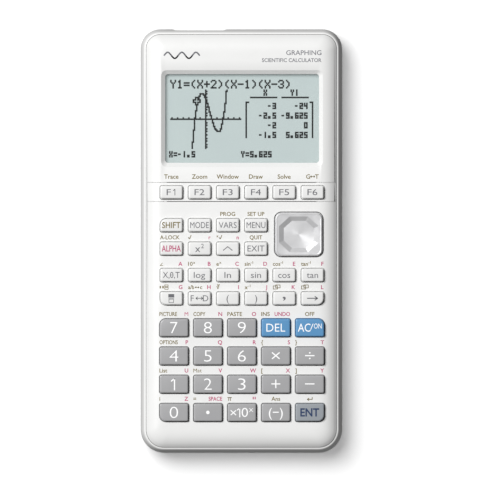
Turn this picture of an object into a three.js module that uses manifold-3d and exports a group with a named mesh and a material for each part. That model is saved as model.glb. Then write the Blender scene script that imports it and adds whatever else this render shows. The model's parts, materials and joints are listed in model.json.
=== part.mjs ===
// A handheld graphing calculator: a white two-part case with a clear display window, forty-six keys that
// each slide down on their own, a cursor pad that rocks two ways, and a hinged battery cover underneath.
//
// Millimetres. +X is the calculator's right, +Y its top (display) end, +Z up out of the key face.
// The origin is under the middle of the case, on the surface that its feet stand on.
import * as THREE from "three";
import { mergeVertices } from "three/addons/utils/BufferGeometryUtils.js";
import Module from "manifold-3d";

const wasm = await Module();
wasm.setup();

// ---------------------------------------------------------------- driving dimensions
const WIDTH = 83.5;
const LENGTH = 175.5;
const TOP_CORNER = 8.2; // outline radius at the display end
const BOTTOM_CORNER = 9.7; // outline radius at the numeral end
const SMALLEST_CORNER = 0.8;

// Heights above the table.
const FOOT_H = 0.6;
const FLOOR_TOP = 2.2; // inner face of the rear case floor
const RIM_Z = 16.6; // flat rim of the rear case, around the front case
const SKIRT_Z = 14.4; // lower edge of the front case
const EDGE_Z = 16.9; // where the front face meets its own edge
const FACE_Z = 19.6; // flat middle of the front face
const FACE_INNER_Z = 17.8;
const KEY_TOP_Z = 21.2;
const GAP = 0.3; // clearance between pieces that meet

// Front face: flat in the middle and falling away to its edge, ever more steeply.
const FRONT_INSET = 2.4;
const CROWN_W = 8.5;
const CROWN_POWER = 3.1;
const CROWN_STEPS = 4;
const SKIRT_INNER = 3.7;
const FACE_INNER_INSET = 6.4;

// Display.
const WINDOW = { x: 0.3, y: 50.65, w: 63.6, h: 36.7, corner: 1.2 };
const RECESS = { left: 1.7, right: 1.7, top: 1.6, bottom: 1.8 };
const RECESS_LAND_Z = 18.2; // the sloped walls of the recess end here, above a short upright edge
const WINDOW_TOP_Z = 17.5;
const WINDOW_T = 1.0;
const WINDOW_LAP = 1.5; // how far the window reaches under the case, all round
const FRAME = { w: 70.5, h: 45.0, bottom: 16.5 };
const PANEL = { w: 69.0, h: 43.0, z: 14.5, t: 1.7 };
const RIBBON = { halfW: 20, bottom: 24.8, top: 33, z: 14.0, t: 0.2 };

// Keys.
const KEY_CLEARANCE = 0.3; // cap to case, all round
const FLANGE_W = 0.6;
const FLANGE_Z = 16.7;
const FLANGE_T = 0.8;
const CAP_DRAFT = 0.3;
const CAP_CORNER = 0.8;
const CAP_BIG_CORNER = 2.6; // at the outer corners of a block of keys
const SMALL_KEY = { w: 9.4, h: 5.5, pitch: 11.66 };
const LARGE_KEY = { w: 12.0, h: 7.5, pitch: 14.03 };
const KEYPAD_X = 0.2; // the middle of the key block
const SOFT_KEY_Y = 20.15;
const COMMAND_Y = 6.55;
const COMMAND_PITCH = 9.67;
const FUNCTION_Y = -14.05;
const FUNCTION_PITCH = 9.63;
const NUMBER_Y = -35.8;
const NUMBER_PITCH = 11.67;

// Cursor pad.
const PAD = { x: 23.72, y: 2.71, w: 19.5, h: 17.85, corner: 2.6, clearance: 0.45, top: 20.9, flangeZ: 15.8 };
const DISH = { rimW: 16.3, rimH: 14.8, floorW: 12.4, floorH: 11.2, depth: 1.15, cut: 0.27 };
const ROCKER = { r: 2.6, z: 14.9, t: 0.6 };

// Board, mat and their supports.
const BOARD_Z = 12.4;
const BOARD_T = 1.2;
const BOARD = { halfW: 37.4, bottom: -82.5, top: 84, chamfer: 3, armTop: 25.6, holeR: 1.5 };
const MAT = { z: 13.9, t: 0.7, halfW: 36, top: 24.3, bottom: -77, domeH: 0.55, dome: 3.6 };
const PAD_DOMES = [[7, 0], [-7, 0], [0, 6.4], [0, -6.4]]; // under the cursor pad, from its middle
const inPairs = (points) => points.flatMap(([x, y]) => [[-x, y], [x, y]]);
const POSTS = inPairs([[34.5, 78.8], [35, 27], [34.5, -80]]);
const REAR_POST_R = 2.7;
const FRONT_POST_R = 2.2;
const HEAD = { r: 2.3, z: 3.0 };
const SCREW_R = 1.2;
const FEET = inPairs([[31.5, 68], [31.5, -72]]);
const FOOT_R = 3.5;

// Battery bay: four AAA cells side by side, behind the display.
const CELL = { r: 5.2, bodyL: 43.5, pitch: 10.9, nubR: 1.9, nubL: 1.0, springR: 2.4, springL: 2.6, z: 7.6 };
const BAY = { halfW: 22.3, bottom: 27.5, top: 76, ceiling: 13.0, wall: 1.2, ceilingT: 0.7 };
const COVER = { halfW: 25, bottom: 22.95, top: 78.75, t: 1.6, corner: 1.6, ledge: 1.7 };
const CELL_PLATE = { t: 0.4, halfW: 3.5, halfH: 2.8, inset: 0.7 };
const SHELF_Z = 3.5;
const TAB = { x: 14, halfW: 3, back: 77.2, tip: 81, z: 2.5, t: 1.0 };
const TAB_POCKET = { halfW: 3.6, below: 2, beyond: 1.5, top: 4.8 };
const LATCH = { halfW: 3, y: 23.6, t: 1.0, top: 5.0 };
const LATCH_SLOT = { halfW: 4, end: 26.2, top: 6 };
const THUMB_NOTCH = { r: 6.5, top: 1.4 };

// Sockets in the top edge.
const PORT_FLAT = { left: -29, right: -5.6, depth: 0.55, ramp: 2.2 };
const PORT_CUT = [83, 90]; // from inside the top wall to outside it
const USB = { x: -13, z: 10.15, w: 7.7, h: 3.9, back: 77.9, front: 86.9, wall: 0.4 };
const USB_TONGUE = { halfW: 2.4, halfH: 0.45, back: 1, front: 1.2 }; // set in from the shell's two ends
const JACK = { x: -22.5, z: 9.55, r: 2.6, bore: 1.3, bodyW: 6.2, bodyH: 5.1, back: 77.6, face: 84.4, front: 86.9 };
const RESTART = { x: -31, y: 50, r: 0.9, hole: 1.2, flangeR: 1.8, flangeZ: [2.5, 3.3], z: 1.0, top: 11.7 };
const BELOW = -1; // cutters start here, under the feet

// ---------------------------------------------------------------- colours
const plastic = (color, roughness = 0.5) => new THREE.MeshStandardMaterial({ color, roughness, metalness: 0 });
const WHITE = plastic(0xf1f1f0, 0.45);
const WHITE_KEY = plastic(0xf4f4f3, 0.4);
const GREY_KEY = plastic(0xa9a9ab, 0.5);
const BLUE_KEY = plastic(0x5b9bd0, 0.45);
const PAD_SILVER = plastic(0xd2d2d2, 0.35);
const CLEAR = new THREE.MeshStandardMaterial({ color: 0xdfe8e6, roughness: 0.1, transparent: true, opacity: 0.3 });
const LCD_GREEN = plastic(0xc5d1d0, 0.3);
const BOARD_GREEN = plastic(0x2f6b45, 0.5);
const RUBBER = plastic(0x9aa0a3, 0.8);
const RIBBON_FILM = plastic(0xb08a3c, 0.5);
const STEEL = new THREE.MeshStandardMaterial({ color: 0xc8c8c8, roughness: 0.3, metalness: 1 });
const BLACK = plastic(0x222222, 0.5);
const CELL_WRAP = new THREE.MeshStandardMaterial({ color: 0x3d6e8c, roughness: 0.35, metalness: 0.5 });

// ---------------------------------------------------------------- helpers
const CASE_ARC = 4; // each rounded corner gets twice this many straight steps
const KEY_ARC = 1;
const PAD_ARC = 2;

// A rectangle with its own radius at each corner, counter-clockwise from the bottom right.
function roundedRect(w, h, { br, tr, tl, bl }, cx = 0, cy = 0) {
  const [right, left] = [cx + w / 2, cx - w / 2];
  const [top, bottom] = [cy + h / 2, cy - h / 2];
  return new THREE.Shape()
    .absarc(right - br, bottom + br, br, -Math.PI / 2, 0)
    .absarc(right - tr, top - tr, tr, 0, Math.PI / 2)
    .absarc(left + tl, top - tl, tl, Math.PI / 2, Math.PI)
    .absarc(left + bl, bottom + bl, bl, Math.PI, 1.5 * Math.PI);
}

const evenCorners = (r) => ({ br: r, tr: r, tl: r, bl: r });

// The case outline seen from above, moved inwards by inset.
function caseOutline(inset) {
  const top = Math.max(TOP_CORNER - inset, SMALLEST_CORNER);
  const bottom = Math.max(BOTTOM_CORNER - inset, SMALLEST_CORNER);
  return roundedRect(WIDTH - 2 * inset, LENGTH - 2 * inset, { br: bottom, tr: top, tl: top, bl: bottom });
}

// A closed body through a stack of outlines with equal point counts, given from the lowest to the highest.
function loft(sections, arc) {
  const rings = sections.map(({ shape, z }) => shape.getPoints(arc).map((p) => [p.x, p.y, z]));
  const n = rings[0].length;
  const faces = [];
  for (let k = 0; k + 1 < rings.length; k++) {
    for (let i = 0; i < n; i++) {
      const [a, b] = [k * n + i, k * n + ((i + 1) % n)];
      faces.push(a, b, b + n, a, b + n, a + n);
    }
  }
  const flat = (ring) => ring.map(([x, y]) => new THREE.Vector2(x, y));
  const last = (rings.length - 1) * n;
  for (const [a, b, c] of THREE.ShapeUtils.triangulateShape(flat(rings[0]), [])) faces.push(a, c, b);
  for (const [a, b, c] of THREE.ShapeUtils.triangulateShape(flat(rings.at(-1)), [])) {
    faces.push(last + a, last + b, last + c);
  }
  return new THREE.BufferGeometry()
    .setAttribute("position", new THREE.Float32BufferAttribute(rings.flat(2), 3))
    .setIndex(faces);
}

const prism = (shape, z0, z1, arc = KEY_ARC) =>
  new THREE.ExtrudeGeometry(shape, { depth: z1 - z0, bevelEnabled: false, curveSegments: arc }).translate(0, 0, z0);
const box = (x0, x1, y0, y1, z0, z1) =>
  new THREE.BoxGeometry(x1 - x0, y1 - y0, z1 - z0).translate((x0 + x1) / 2, (y0 + y1) / 2, (z0 + z1) / 2);
const upright = (x, y, r, z0, z1, sides = 12) =>
  new THREE.CylinderGeometry(r, r, z1 - z0, sides).rotateX(Math.PI / 2).translate(x, y, (z0 + z1) / 2);
const lengthwise = (x, z, r, y0, y1, sides = 16) =>
  new THREE.CylinderGeometry(r, r, y1 - y0, sides).translate(x, (y0 + y1) / 2, z);

// Joining and cutting.
function solid(geometry) {
  const bare = geometry.clone();
  bare.deleteAttribute("normal");
  bare.deleteAttribute("uv");
  const merged = mergeVertices(bare, 1e-4);
  const vertProperties = new Float32Array(merged.attributes.position.array);
  const triVerts = new Uint32Array(merged.index.array);
  return new wasm.Manifold(new wasm.Mesh({ numProp: 3, vertProperties, triVerts }));
}

const join = (geometries) => geometries.map(solid).reduce((all, next) => all.add(next));

function geometryOf(manifold) {
  const mesh = manifold.getMesh();
  const made = new THREE.BufferGeometry()
    .setAttribute("position", new THREE.BufferAttribute(mesh.vertProperties, 3))
    .setIndex(new THREE.BufferAttribute(mesh.triVerts, 1));
  made.computeVertexNormals();
  return made;
}

const calculator = new THREE.Group();

function place(name, geometry, material, x = 0, y = 0) {
  const mesh = new THREE.Mesh(geometry, material);
  mesh.name = name;
  mesh.position.set(x, y, 0);
  calculator.add(mesh);
}

// ---------------------------------------------------------------- key layout
// The keys that have one corner rounder than the rest, and which corner it is.
const ROUNDER = { shift: "tl", fraction: "bl", arrow: "br", seven: "tl", clear: "tr", zero: "bl", enter: "br" };
const ROWS = [
  { names: ["f1", "f2", "f3", "f4", "f5", "f6"], y: SOFT_KEY_Y, size: SMALL_KEY },
  { names: ["shift", "option", "variable", "menu"], y: COMMAND_Y, size: SMALL_KEY },
  { names: ["alpha", "square", "power", "exit"], y: COMMAND_Y - COMMAND_PITCH, size: SMALL_KEY },
  { names: ["xt", "log", "ln", "sin", "cos", "tan"], y: FUNCTION_Y, size: SMALL_KEY },
  {
    names: ["fraction", "convert", "open_bracket", "close_bracket", "comma", "arrow"],
    y: FUNCTION_Y - FUNCTION_PITCH,
    size: SMALL_KEY,
  },
  ...[
    ["seven", "eight", "nine", "delete", "clear"],
    ["four", "five", "six", "multiply", "divide"],
    ["one", "two", "three", "plus", "minus"],
    ["zero", "point", "exponent", "negate", "enter"],
  ].map((names, i) => ({ names, y: NUMBER_Y - i * NUMBER_PITCH, size: LARGE_KEY })),
];
const COLUMNS = new Map([[SMALL_KEY, 6], [LARGE_KEY, 5]]);
const KEYS = ROWS.flatMap(({ names, y, size }) =>
  names.map((name, i) => ({ name, y, size, x: KEYPAD_X + (i - (COLUMNS.get(size) - 1) / 2) * size.pitch })),
);

function keyOutline({ name, size }, grow) {
  const corners = evenCorners(CAP_CORNER + Math.max(grow, -CAP_CORNER / 2));
  if (ROUNDER[name]) corners[ROUNDER[name]] = CAP_BIG_CORNER + grow;
  return roundedRect(size.w + 2 * grow, size.h + 2 * grow, corners);
}

function keyMaterial({ name, size }) {
  if (name === "delete" || name === "clear") return BLUE_KEY;
  return size === LARGE_KEY ? GREY_KEY : WHITE_KEY;
}

const at = (shape, x, y, z0, z1, arc) => prism(shape, z0, z1, arc).translate(x, y, 0);

// ---------------------------------------------------------------- front case
const crownZ = (d) => FACE_Z - (FACE_Z - EDGE_Z) * (1 - d / CROWN_W) ** CROWN_POWER;

function windowOutline(grow) {
  return roundedRect(WINDOW.w + 2 * grow, WINDOW.h + 2 * grow, evenCorners(WINDOW.corner), WINDOW.x, WINDOW.y);
}

function windowRecess() {
  const w = WINDOW.w + RECESS.left + RECESS.right;
  const h = WINDOW.h + RECESS.top + RECESS.bottom;
  const x = WINDOW.x + (RECESS.right - RECESS.left) / 2;
  const y = WINDOW.y + (RECESS.top - RECESS.bottom) / 2;
  return loft(
    [
      { shape: windowOutline(0), z: WINDOW_TOP_Z },
      { shape: windowOutline(0), z: RECESS_LAND_Z },
      { shape: roundedRect(w, h, evenCorners(2 * WINDOW.corner), x, y), z: FACE_Z },
      { shape: roundedRect(w, h, evenCorners(2 * WINDOW.corner), x, y), z: FACE_Z + 1 },
    ],
    KEY_ARC,
  );
}

function frontCase() {
  const crown = Array.from({ length: CROWN_STEPS }, (_, i) => ((i + 1) * CROWN_W) / CROWN_STEPS);
  const outside = loft(
    [
      { shape: caseOutline(FRONT_INSET), z: SKIRT_Z },
      { shape: caseOutline(FRONT_INSET), z: EDGE_Z },
      ...crown.map((d) => ({ shape: caseOutline(FRONT_INSET + d), z: crownZ(d) })),
    ],
    CASE_ARC,
  );
  const inside = loft(
    [
      { shape: caseOutline(SKIRT_INNER), z: SKIRT_Z - 1 },
      { shape: caseOutline(SKIRT_INNER), z: RIM_Z - GAP },
      { shape: caseOutline(FACE_INNER_INSET), z: FACE_INNER_Z },
    ],
    CASE_ARC,
  );
  const [fx, fy] = [FRAME.w / 2, FRAME.h / 2];
  const frame = box(WINDOW.x - fx, WINDOW.x + fx, WINDOW.y - fy, WINDOW.y + fy, FRAME.bottom, FACE_INNER_Z + 0.5);
  const posts = POSTS.map(([x, y]) => upright(x, y, FRONT_POST_R, BOARD_Z + BOARD_T + GAP, FACE_INNER_Z + 0.4));
  const shell = solid(outside).subtract(solid(inside)).add(join([frame, ...posts]));
  const cuts = [
    windowRecess(),
    prism(windowOutline(WINDOW_LAP + GAP), FRAME.bottom - 1, FACE_INNER_Z),
    ...POSTS.map(([x, y]) => upright(x, y, SCREW_R - GAP, BOARD_Z, FACE_INNER_Z - 0.8, 8)),
    ...KEYS.map((key) => at(keyOutline(key, KEY_CLEARANCE), key.x, key.y, RIM_Z - 1, FACE_Z + 1)),
    at(padOutline(PAD.clearance), PAD.x, PAD.y, RIM_Z - 1, FACE_Z + 1, PAD_ARC),
  ];
  return geometryOf(shell.subtract(join(cuts)));
}

// ---------------------------------------------------------------- keys and cursor pad
function keyCap(key) {
  return loft(
    [
      { shape: keyOutline(key, FLANGE_W), z: FLANGE_Z },
      { shape: keyOutline(key, FLANGE_W), z: FLANGE_Z + FLANGE_T },
      { shape: keyOutline(key, 0), z: FLANGE_Z + FLANGE_T },
      { shape: keyOutline(key, -CAP_DRAFT), z: KEY_TOP_Z },
    ],
    KEY_ARC,
  );
}

function padOutline(grow) {
  return roundedRect(PAD.w + 2 * grow, PAD.h + 2 * grow, evenCorners(PAD.corner + grow));
}

// A twelve-sided outline whose corners are cut twice, for the faceted dish in the pad.
function dishOutline(w, h) {
  const [a, b] = [w / 2, h / 2];
  const [c, d] = [1 - DISH.cut, 1 - 2 * DISH.cut];
  const quarter = [[a, -d * b], [a, d * b], [c * a, c * b]];
  const corners = [...quarter, [d * a, b], [-d * a, b], [-c * a, c * b], [-a, d * b], [-a, -d * b]];
  corners.push([-c * a, -c * b], [-d * a, -b], [d * a, -b], [c * a, -c * b]);
  return new THREE.Shape(corners.map(([x, y]) => new THREE.Vector2(x, y)));
}

function cursorPad() {
  const body = loft(
    [
      { shape: padOutline(FLANGE_W), z: PAD.flangeZ },
      { shape: padOutline(FLANGE_W), z: PAD.flangeZ + FLANGE_T },
      { shape: padOutline(0), z: PAD.flangeZ + FLANGE_T },
      { shape: padOutline(0), z: PAD.top - 0.6 },
      { shape: padOutline(-0.7), z: PAD.top },
    ],
    PAD_ARC,
  );
  const slope = (DISH.rimW - DISH.floorW) / DISH.depth;
  const dish = loft(
    [
      { shape: dishOutline(DISH.floorW, DISH.floorH), z: PAD.top - DISH.depth },
      { shape: dishOutline(DISH.rimW + slope, DISH.rimH + slope), z: PAD.top + 1 },
    ],
    1,
  );
  return geometryOf(solid(body).subtract(solid(dish)));
}

// ---------------------------------------------------------------- rear case
// Side profile, as [height, inset]: a flat floor, a tight turn, and a gently bulging wall.
const OUTER_PROFILE = [
  [FOOT_H, 4.2], [0.9, 3.0], [1.6, 2.0], [3.0, 1.05], [5.5, 0.3], [9.0, 0], [12.5, 0.3], [15.0, 1.0], [RIM_Z, 1.7],
];
const INNER_PROFILE = [[FLOOR_TOP, 5.0], [3.2, 3.6], [6.0, 2.4], [9.0, 2.0], [13.8, 2.1], [RIM_Z + 1, 2.1]];
const profileSections = (profile) => profile.map(([z, inset]) => ({ shape: caseOutline(inset), z }));

function portFlat() {
  const { left, right, depth, ramp } = PORT_FLAT;
  const edge = LENGTH / 2;
  const outline = [[left, edge], [left + ramp, edge - depth], [right - ramp, edge - depth], [right, edge]];
  outline.push([right + ramp, edge + depth], [left - ramp, edge + depth]);
  return prism(new THREE.Shape(outline.map(([x, y]) => new THREE.Vector2(x, y))), 0, RIM_Z + 1);
}

function rearCase() {
  const { halfW, bottom, top, ceiling, wall, ceilingT } = BAY;
  const edge = COVER.halfW + GAP;
  const [recessBottom, recessTop] = [COVER.bottom - GAP, COVER.top + GAP];
  const shelf = edge + COVER.ledge;
  const added = [
    box(-halfW - wall, halfW + wall, bottom - 1, top + 1, FLOOR_TOP - 1, ceiling + ceilingT),
    box(-shelf, shelf, recessBottom - COVER.ledge, recessTop + COVER.ledge, FLOOR_TOP - 1, SHELF_Z),
    ...POSTS.map(([x, y]) => upright(x, y, REAR_POST_R, FLOOR_TOP - 1, BOARD_Z - GAP)),
    ...FEET.map(([x, y]) => upright(x, y, FOOT_R, 0, FLOOR_TOP - 1)),
  ];
  const recessY = (recessTop + recessBottom) / 2;
  const recess = roundedRect(2 * edge, recessTop - recessBottom, evenCorners(COVER.corner), 0, recessY);
  const pocketY = [top - TAB_POCKET.below, TAB.tip + TAB_POCKET.beyond];
  const pocket = (x) =>
    box(x - TAB_POCKET.halfW, x + TAB_POCKET.halfW, ...pocketY, FLOOR_TOP + 0.1, TAB_POCKET.top);
  const [usbHalfW, usbHalfH] = [USB.w / 2 + GAP, USB.h / 2 + GAP];
  const cuts = [
    box(-halfW, halfW, bottom, top, BELOW, ceiling),
    prism(recess, BELOW, FOOT_H + COVER.t + GAP),
    pocket(-TAB.x),
    pocket(TAB.x),
    box(-LATCH_SLOT.halfW, LATCH_SLOT.halfW, recessBottom, LATCH_SLOT.end, FLOOR_TOP + 0.1, LATCH_SLOT.top),
    upright(0, recessBottom, THUMB_NOTCH.r, BELOW, THUMB_NOTCH.top),
    ...POSTS.map(([x, y]) => upright(x, y, HEAD.r, BELOW, HEAD.z)),
    ...POSTS.map(([x, y]) => upright(x, y, SCREW_R, BELOW, BOARD_Z, 8)),
    upright(RESTART.x, RESTART.y, RESTART.hole, BELOW, FLOOR_TOP + 1),
    portFlat(),
    box(USB.x - usbHalfW, USB.x + usbHalfW, ...PORT_CUT, USB.z - usbHalfH, USB.z + usbHalfH),
    lengthwise(JACK.x, JACK.z, JACK.r + GAP, ...PORT_CUT),
  ];
  const tub = solid(loft(profileSections(OUTER_PROFILE), CASE_ARC));
  const shell = tub.subtract(solid(loft(profileSections(INNER_PROFILE), CASE_ARC)));
  return geometryOf(shell.add(join(added)).subtract(join(cuts)));
}

// ---------------------------------------------------------------- battery cover and cells
function batteryCover() {
  const { halfW, bottom, top, t, corner } = COVER;
  const plate = roundedRect(2 * halfW, top - bottom, evenCorners(corner), 0, (top + bottom) / 2);
  const tabs = [-TAB.x, TAB.x].flatMap((x) => [
    box(x - TAB.halfW, x + TAB.halfW, TAB.back, top, FLOOR_TOP - 0.2, TAB.z + TAB.t),
    box(x - TAB.halfW, x + TAB.halfW, TAB.back, TAB.tip, TAB.z, TAB.z + TAB.t),
  ]);
  const latch = box(-LATCH.halfW, LATCH.halfW, LATCH.y, LATCH.y + LATCH.t, FLOOR_TOP - 0.2, LATCH.top);
  return geometryOf(join([prism(plate, FOOT_H, FOOT_H + t), ...tabs, latch]));
}

// Four cells wired in series by the contact plates at their ends, which hold them as one chain.
function cellPack() {
  const { t, halfW, halfH, inset } = CELL_PLATE;
  const [foot, head] = [BAY.bottom + inset, BAY.top - inset];
  const x = (i) => (i - 1.5) * CELL.pitch;
  const cells = [0, 1, 2, 3].flatMap((i) => {
    const up = i % 2 === 0; // the nub is at the display end
    const bodyFoot = foot + (up ? CELL.springL : CELL.nubL);
    const [low, high] = up ? [CELL.springR, CELL.nubR] : [CELL.nubR, CELL.springR];
    return [
      lengthwise(x(i), CELL.z, CELL.r, bodyFoot, bodyFoot + CELL.bodyL),
      lengthwise(x(i), CELL.z, low, foot - t / 2, bodyFoot + 1, 8),
      lengthwise(x(i), CELL.z, high, bodyFoot + CELL.bodyL - 1, head + t / 2, 8),
    ];
  });
  const plate = (i, j, y) => box(x(i) - halfW, x(j) + halfW, y, y + t, CELL.z - halfH, CELL.z + halfH);
  const headPlates = [plate(0, 1, head), plate(2, 3, head)];
  const footPlates = [[0, 0], [1, 2], [3, 3]].map(([i, j]) => plate(i, j, foot - t));
  return geometryOf(join([...cells, ...headPlates, ...footPlates]));
}

// ---------------------------------------------------------------- board, mat, panel and ribbon
function mainBoard() {
  const { halfW: w, bottom, top, chamfer, armTop, holeR } = BOARD;
  const armX = -BAY.halfW - BAY.wall - 2 * GAP;
  const stripY = BAY.top + BAY.wall + GAP + 0.1;
  const outline = [
    [-w + chamfer, bottom], [w - chamfer, bottom], [w, bottom + chamfer], [w, armTop], [armX, armTop],
    [armX, stripY], [0, stripY], [0, top], [-w + chamfer, top], [-w, top - chamfer], [-w, bottom + chamfer],
  ];
  const shape = new THREE.Shape(outline.map(([x, y]) => new THREE.Vector2(x, y)));
  const holes = POSTS.map(([x, y]) => upright(x, y, holeR, BOARD_Z - 1, BOARD_Z + BOARD_T + 1, 8));
  return geometryOf(solid(prism(shape, BOARD_Z, BOARD_Z + BOARD_T)).subtract(join(holes)));
}

// A rubber sheet with one pad under each key, at the height that a fully pressed key leaves it.
function keyMat() {
  const { z, t, halfW, top, bottom, domeH, dome } = MAT;
  const middles = KEYS.map(({ x, y }) => [x, y]).concat(PAD_DOMES.map(([x, y]) => [PAD.x + x, PAD.y + y]));
  const half = dome / 2;
  const domes = middles.map(([x, y]) => box(x - half, x + half, y - half, y + half, z + t / 2, z + t + domeH));
  return geometryOf(join([box(-halfW, halfW, bottom, top, z, z + t), ...domes]));
}

function ribbon() {
  const { halfW, bottom, top, z, t } = RIBBON;
  return box(-halfW, halfW, bottom, top, z, z + t);
}

// ---------------------------------------------------------------- sockets and restart button
function usbSocket() {
  const { x, z, w, h, back, front, wall } = USB;
  const across = (halfW, halfH, y0, y1) => solid(box(x - halfW, x + halfW, y0, y1, z - halfH, z + halfH));
  const shell = across(w / 2, h / 2, back, front);
  const mouth = across(w / 2 - wall, h / 2 - wall, back + 2, front + 1);
  const tongue = across(USB_TONGUE.halfW, USB_TONGUE.halfH, back + USB_TONGUE.back, front - USB_TONGUE.front);
  return geometryOf(shell.subtract(mouth).add(tongue));
}

function linkJack() {
  const { x, z, r, bore, bodyW, bodyH, back, face, front } = JACK;
  const body = solid(box(x - bodyW / 2, x + bodyW / 2, back, face, z - bodyH / 2, z + bodyH / 2));
  const sleeve = solid(lengthwise(x, z, r, face - 1, front));
  const hole = solid(lengthwise(x, z, bore, back + 1.5, front + 1, 12));
  return geometryOf(body.add(sleeve).subtract(hole));
}

function restartButton() {
  const { r, flangeR, flangeZ, z, top } = RESTART;
  const [low, high] = flangeZ;
  const profile = [[0, z], [r, z], [r, low], [flangeR, low], [flangeR, high], [r, high], [r, top], [0, top]];
  return new THREE.LatheGeometry(profile.map(([a, b]) => new THREE.Vector2(a, b)), 12).rotateX(Math.PI / 2);
}

// ---------------------------------------------------------------- assembly
place("front_case", frontCase(), WHITE);
place("rear_case", rearCase(), WHITE);
place("battery_cover", batteryCover(), WHITE);
place("display_window", prism(windowOutline(WINDOW_LAP), WINDOW_TOP_Z - WINDOW_T, WINDOW_TOP_Z), CLEAR);
place(
  "lcd_panel",
  box(-PANEL.w / 2, PANEL.w / 2, -PANEL.h / 2, PANEL.h / 2, PANEL.z, PANEL.z + PANEL.t),
  LCD_GREEN,
  WINDOW.x,
  WINDOW.y,
);
place("lcd_ribbon", ribbon(), RIBBON_FILM);
place("main_board", mainBoard(), BOARD_GREEN);
place("key_mat", keyMat(), RUBBER);
place("cell_pack", cellPack(), CELL_WRAP);
place("usb_socket", usbSocket(), STEEL);
place("link_jack", linkJack(), BLACK);
place("restart_button", restartButton(), BLACK, RESTART.x, RESTART.y);
place("cursor_rocker", upright(0, 0, ROCKER.r, ROCKER.z, ROCKER.z + ROCKER.t, 8), RUBBER, PAD.x, PAD.y);
place("cursor_pad", cursorPad(), PAD_SILVER, PAD.x, PAD.y);
for (const key of KEYS) place("key_" + key.name, keyCap(key), keyMaterial(key), key.x, key.y);

export default calculator;
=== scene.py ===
# The looks of a handheld graphing calculator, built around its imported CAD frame.
# Sizes in this script are millimetres in the CAD frame (+X right, +Y to the display end, +Z out of the keys).
import json
import math

import bpy
from mathutils import Matrix, Vector

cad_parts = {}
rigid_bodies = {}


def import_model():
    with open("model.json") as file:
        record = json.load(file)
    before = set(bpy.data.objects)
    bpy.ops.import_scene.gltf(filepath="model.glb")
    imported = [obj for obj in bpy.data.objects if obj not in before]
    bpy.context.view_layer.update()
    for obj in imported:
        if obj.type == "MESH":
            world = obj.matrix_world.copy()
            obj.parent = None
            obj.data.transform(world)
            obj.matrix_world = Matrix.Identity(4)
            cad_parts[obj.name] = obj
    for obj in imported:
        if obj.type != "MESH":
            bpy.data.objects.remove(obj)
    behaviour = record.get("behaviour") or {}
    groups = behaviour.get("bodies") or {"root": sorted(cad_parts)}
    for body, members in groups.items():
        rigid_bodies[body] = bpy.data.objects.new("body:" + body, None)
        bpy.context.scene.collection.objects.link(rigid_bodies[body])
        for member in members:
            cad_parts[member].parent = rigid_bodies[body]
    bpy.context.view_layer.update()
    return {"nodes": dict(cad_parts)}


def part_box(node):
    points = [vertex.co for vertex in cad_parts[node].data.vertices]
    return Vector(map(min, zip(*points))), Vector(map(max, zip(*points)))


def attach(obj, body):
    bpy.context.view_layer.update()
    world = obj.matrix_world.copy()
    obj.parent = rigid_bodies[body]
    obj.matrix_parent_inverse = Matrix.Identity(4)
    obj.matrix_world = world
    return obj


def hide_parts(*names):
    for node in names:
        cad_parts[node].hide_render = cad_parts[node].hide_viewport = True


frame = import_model()

MM = 0.001


class Box:
    """A CAD node's box in millimetres: its ends along each axis, its width and height, and its middle."""

    def __init__(self, name):
        low, high = ([v / MM for v in corner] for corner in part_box(name))
        (self.x0, self.y0, self.z0), (self.x1, self.y1, self.z1) = low, high
        self.w, self.h = self.x1 - self.x0, self.y1 - self.y0
        self.x, self.y = (self.x0 + self.x1) / 2, (self.y0 + self.y1) / 2


# ---- sizes shared with the CAD frame
case_box, front_box = Box("rear_case"), Box("front_case")
WIDTH, LENGTH, RIM_Z = case_box.w, case_box.h, case_box.z1
SKIRT_Z, FACE_Z = front_box.z0, front_box.z1
FRONT_INSET = (WIDTH - front_box.w) / 2
TOP_CORNER = 8.2
BOTTOM_CORNER = 9.7
EDGE_Z = 16.9
CROWN_W = 8.5  # how far in from the edge the face curves
CROWN_POWER = 3.1
FACE_INNER_Z = 17.8
FOOT_H = 0.6
FLOOR_TOP = 2.2
GAP = 0.3
OVERLAP = 1  # how far a cutter runs past what it cuts
KEY_FLANGE_W, KEY_FLANGE_T = 0.6, 0.8
PRINT_T = 0.02
KEY_SLIT = 0.25  # between a key and its opening
KEY_REST = 0.1  # how far a key sits to the upper left in its opening
PAD_REST = 0.06
PAD_SLIT = 0.48

KEY_NODES = sorted(n for n in frame["nodes"] if n.startswith("key_") and n != "key_mat")
BLUE_KEYS = ("key_delete", "key_clear")
LARGE_KEY_MIN_W = 11.5
KEY_CORNER, KEY_BIG_CORNER = 0.8, 2.6
# The one corner of a key that is rounder: 0 bottom right, 1 top right, 2 top left, 3 bottom left.
BIG_CORNER = {
    "key_shift": 2, "key_fraction": 3, "key_arrow": 0, "key_seven": 2, "key_clear": 1, "key_zero": 3,
    "key_enter": 0,
}


# ---- mesh helpers (all in millimetres)
def rounded(w, h, corners, steps, cx=0.0, cy=0.0):
    """A rectangle's outline; corners is one radius, or four, from the bottom right to the bottom left."""
    radii = corners if isinstance(corners, (list, tuple)) else [corners] * 4
    points = []
    for (sx, sy, start), r in zip([(1, -1, -90), (1, 1, 0), (-1, 1, 90), (-1, -1, 180)], radii):
        for i in range(steps + 1):
            a = math.radians(start + 90 * i / steps)
            points.append((cx + sx * (w / 2 - r) + r * math.cos(a), cy + sy * (h / 2 - r) + r * math.sin(a)))
    return points


def circle(r, sides, cx=0.0, cy=0.0):
    angles = [2 * math.pi * i / sides for i in range(sides)]
    return [(cx + r * math.cos(a), cy + r * math.sin(a)) for a in angles]


def at_height(outline, z):
    """The outline's points at height z, which is a number or a function of x and y."""
    return [(x, y, z(x, y) if callable(z) else z) for x, y in outline]


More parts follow.
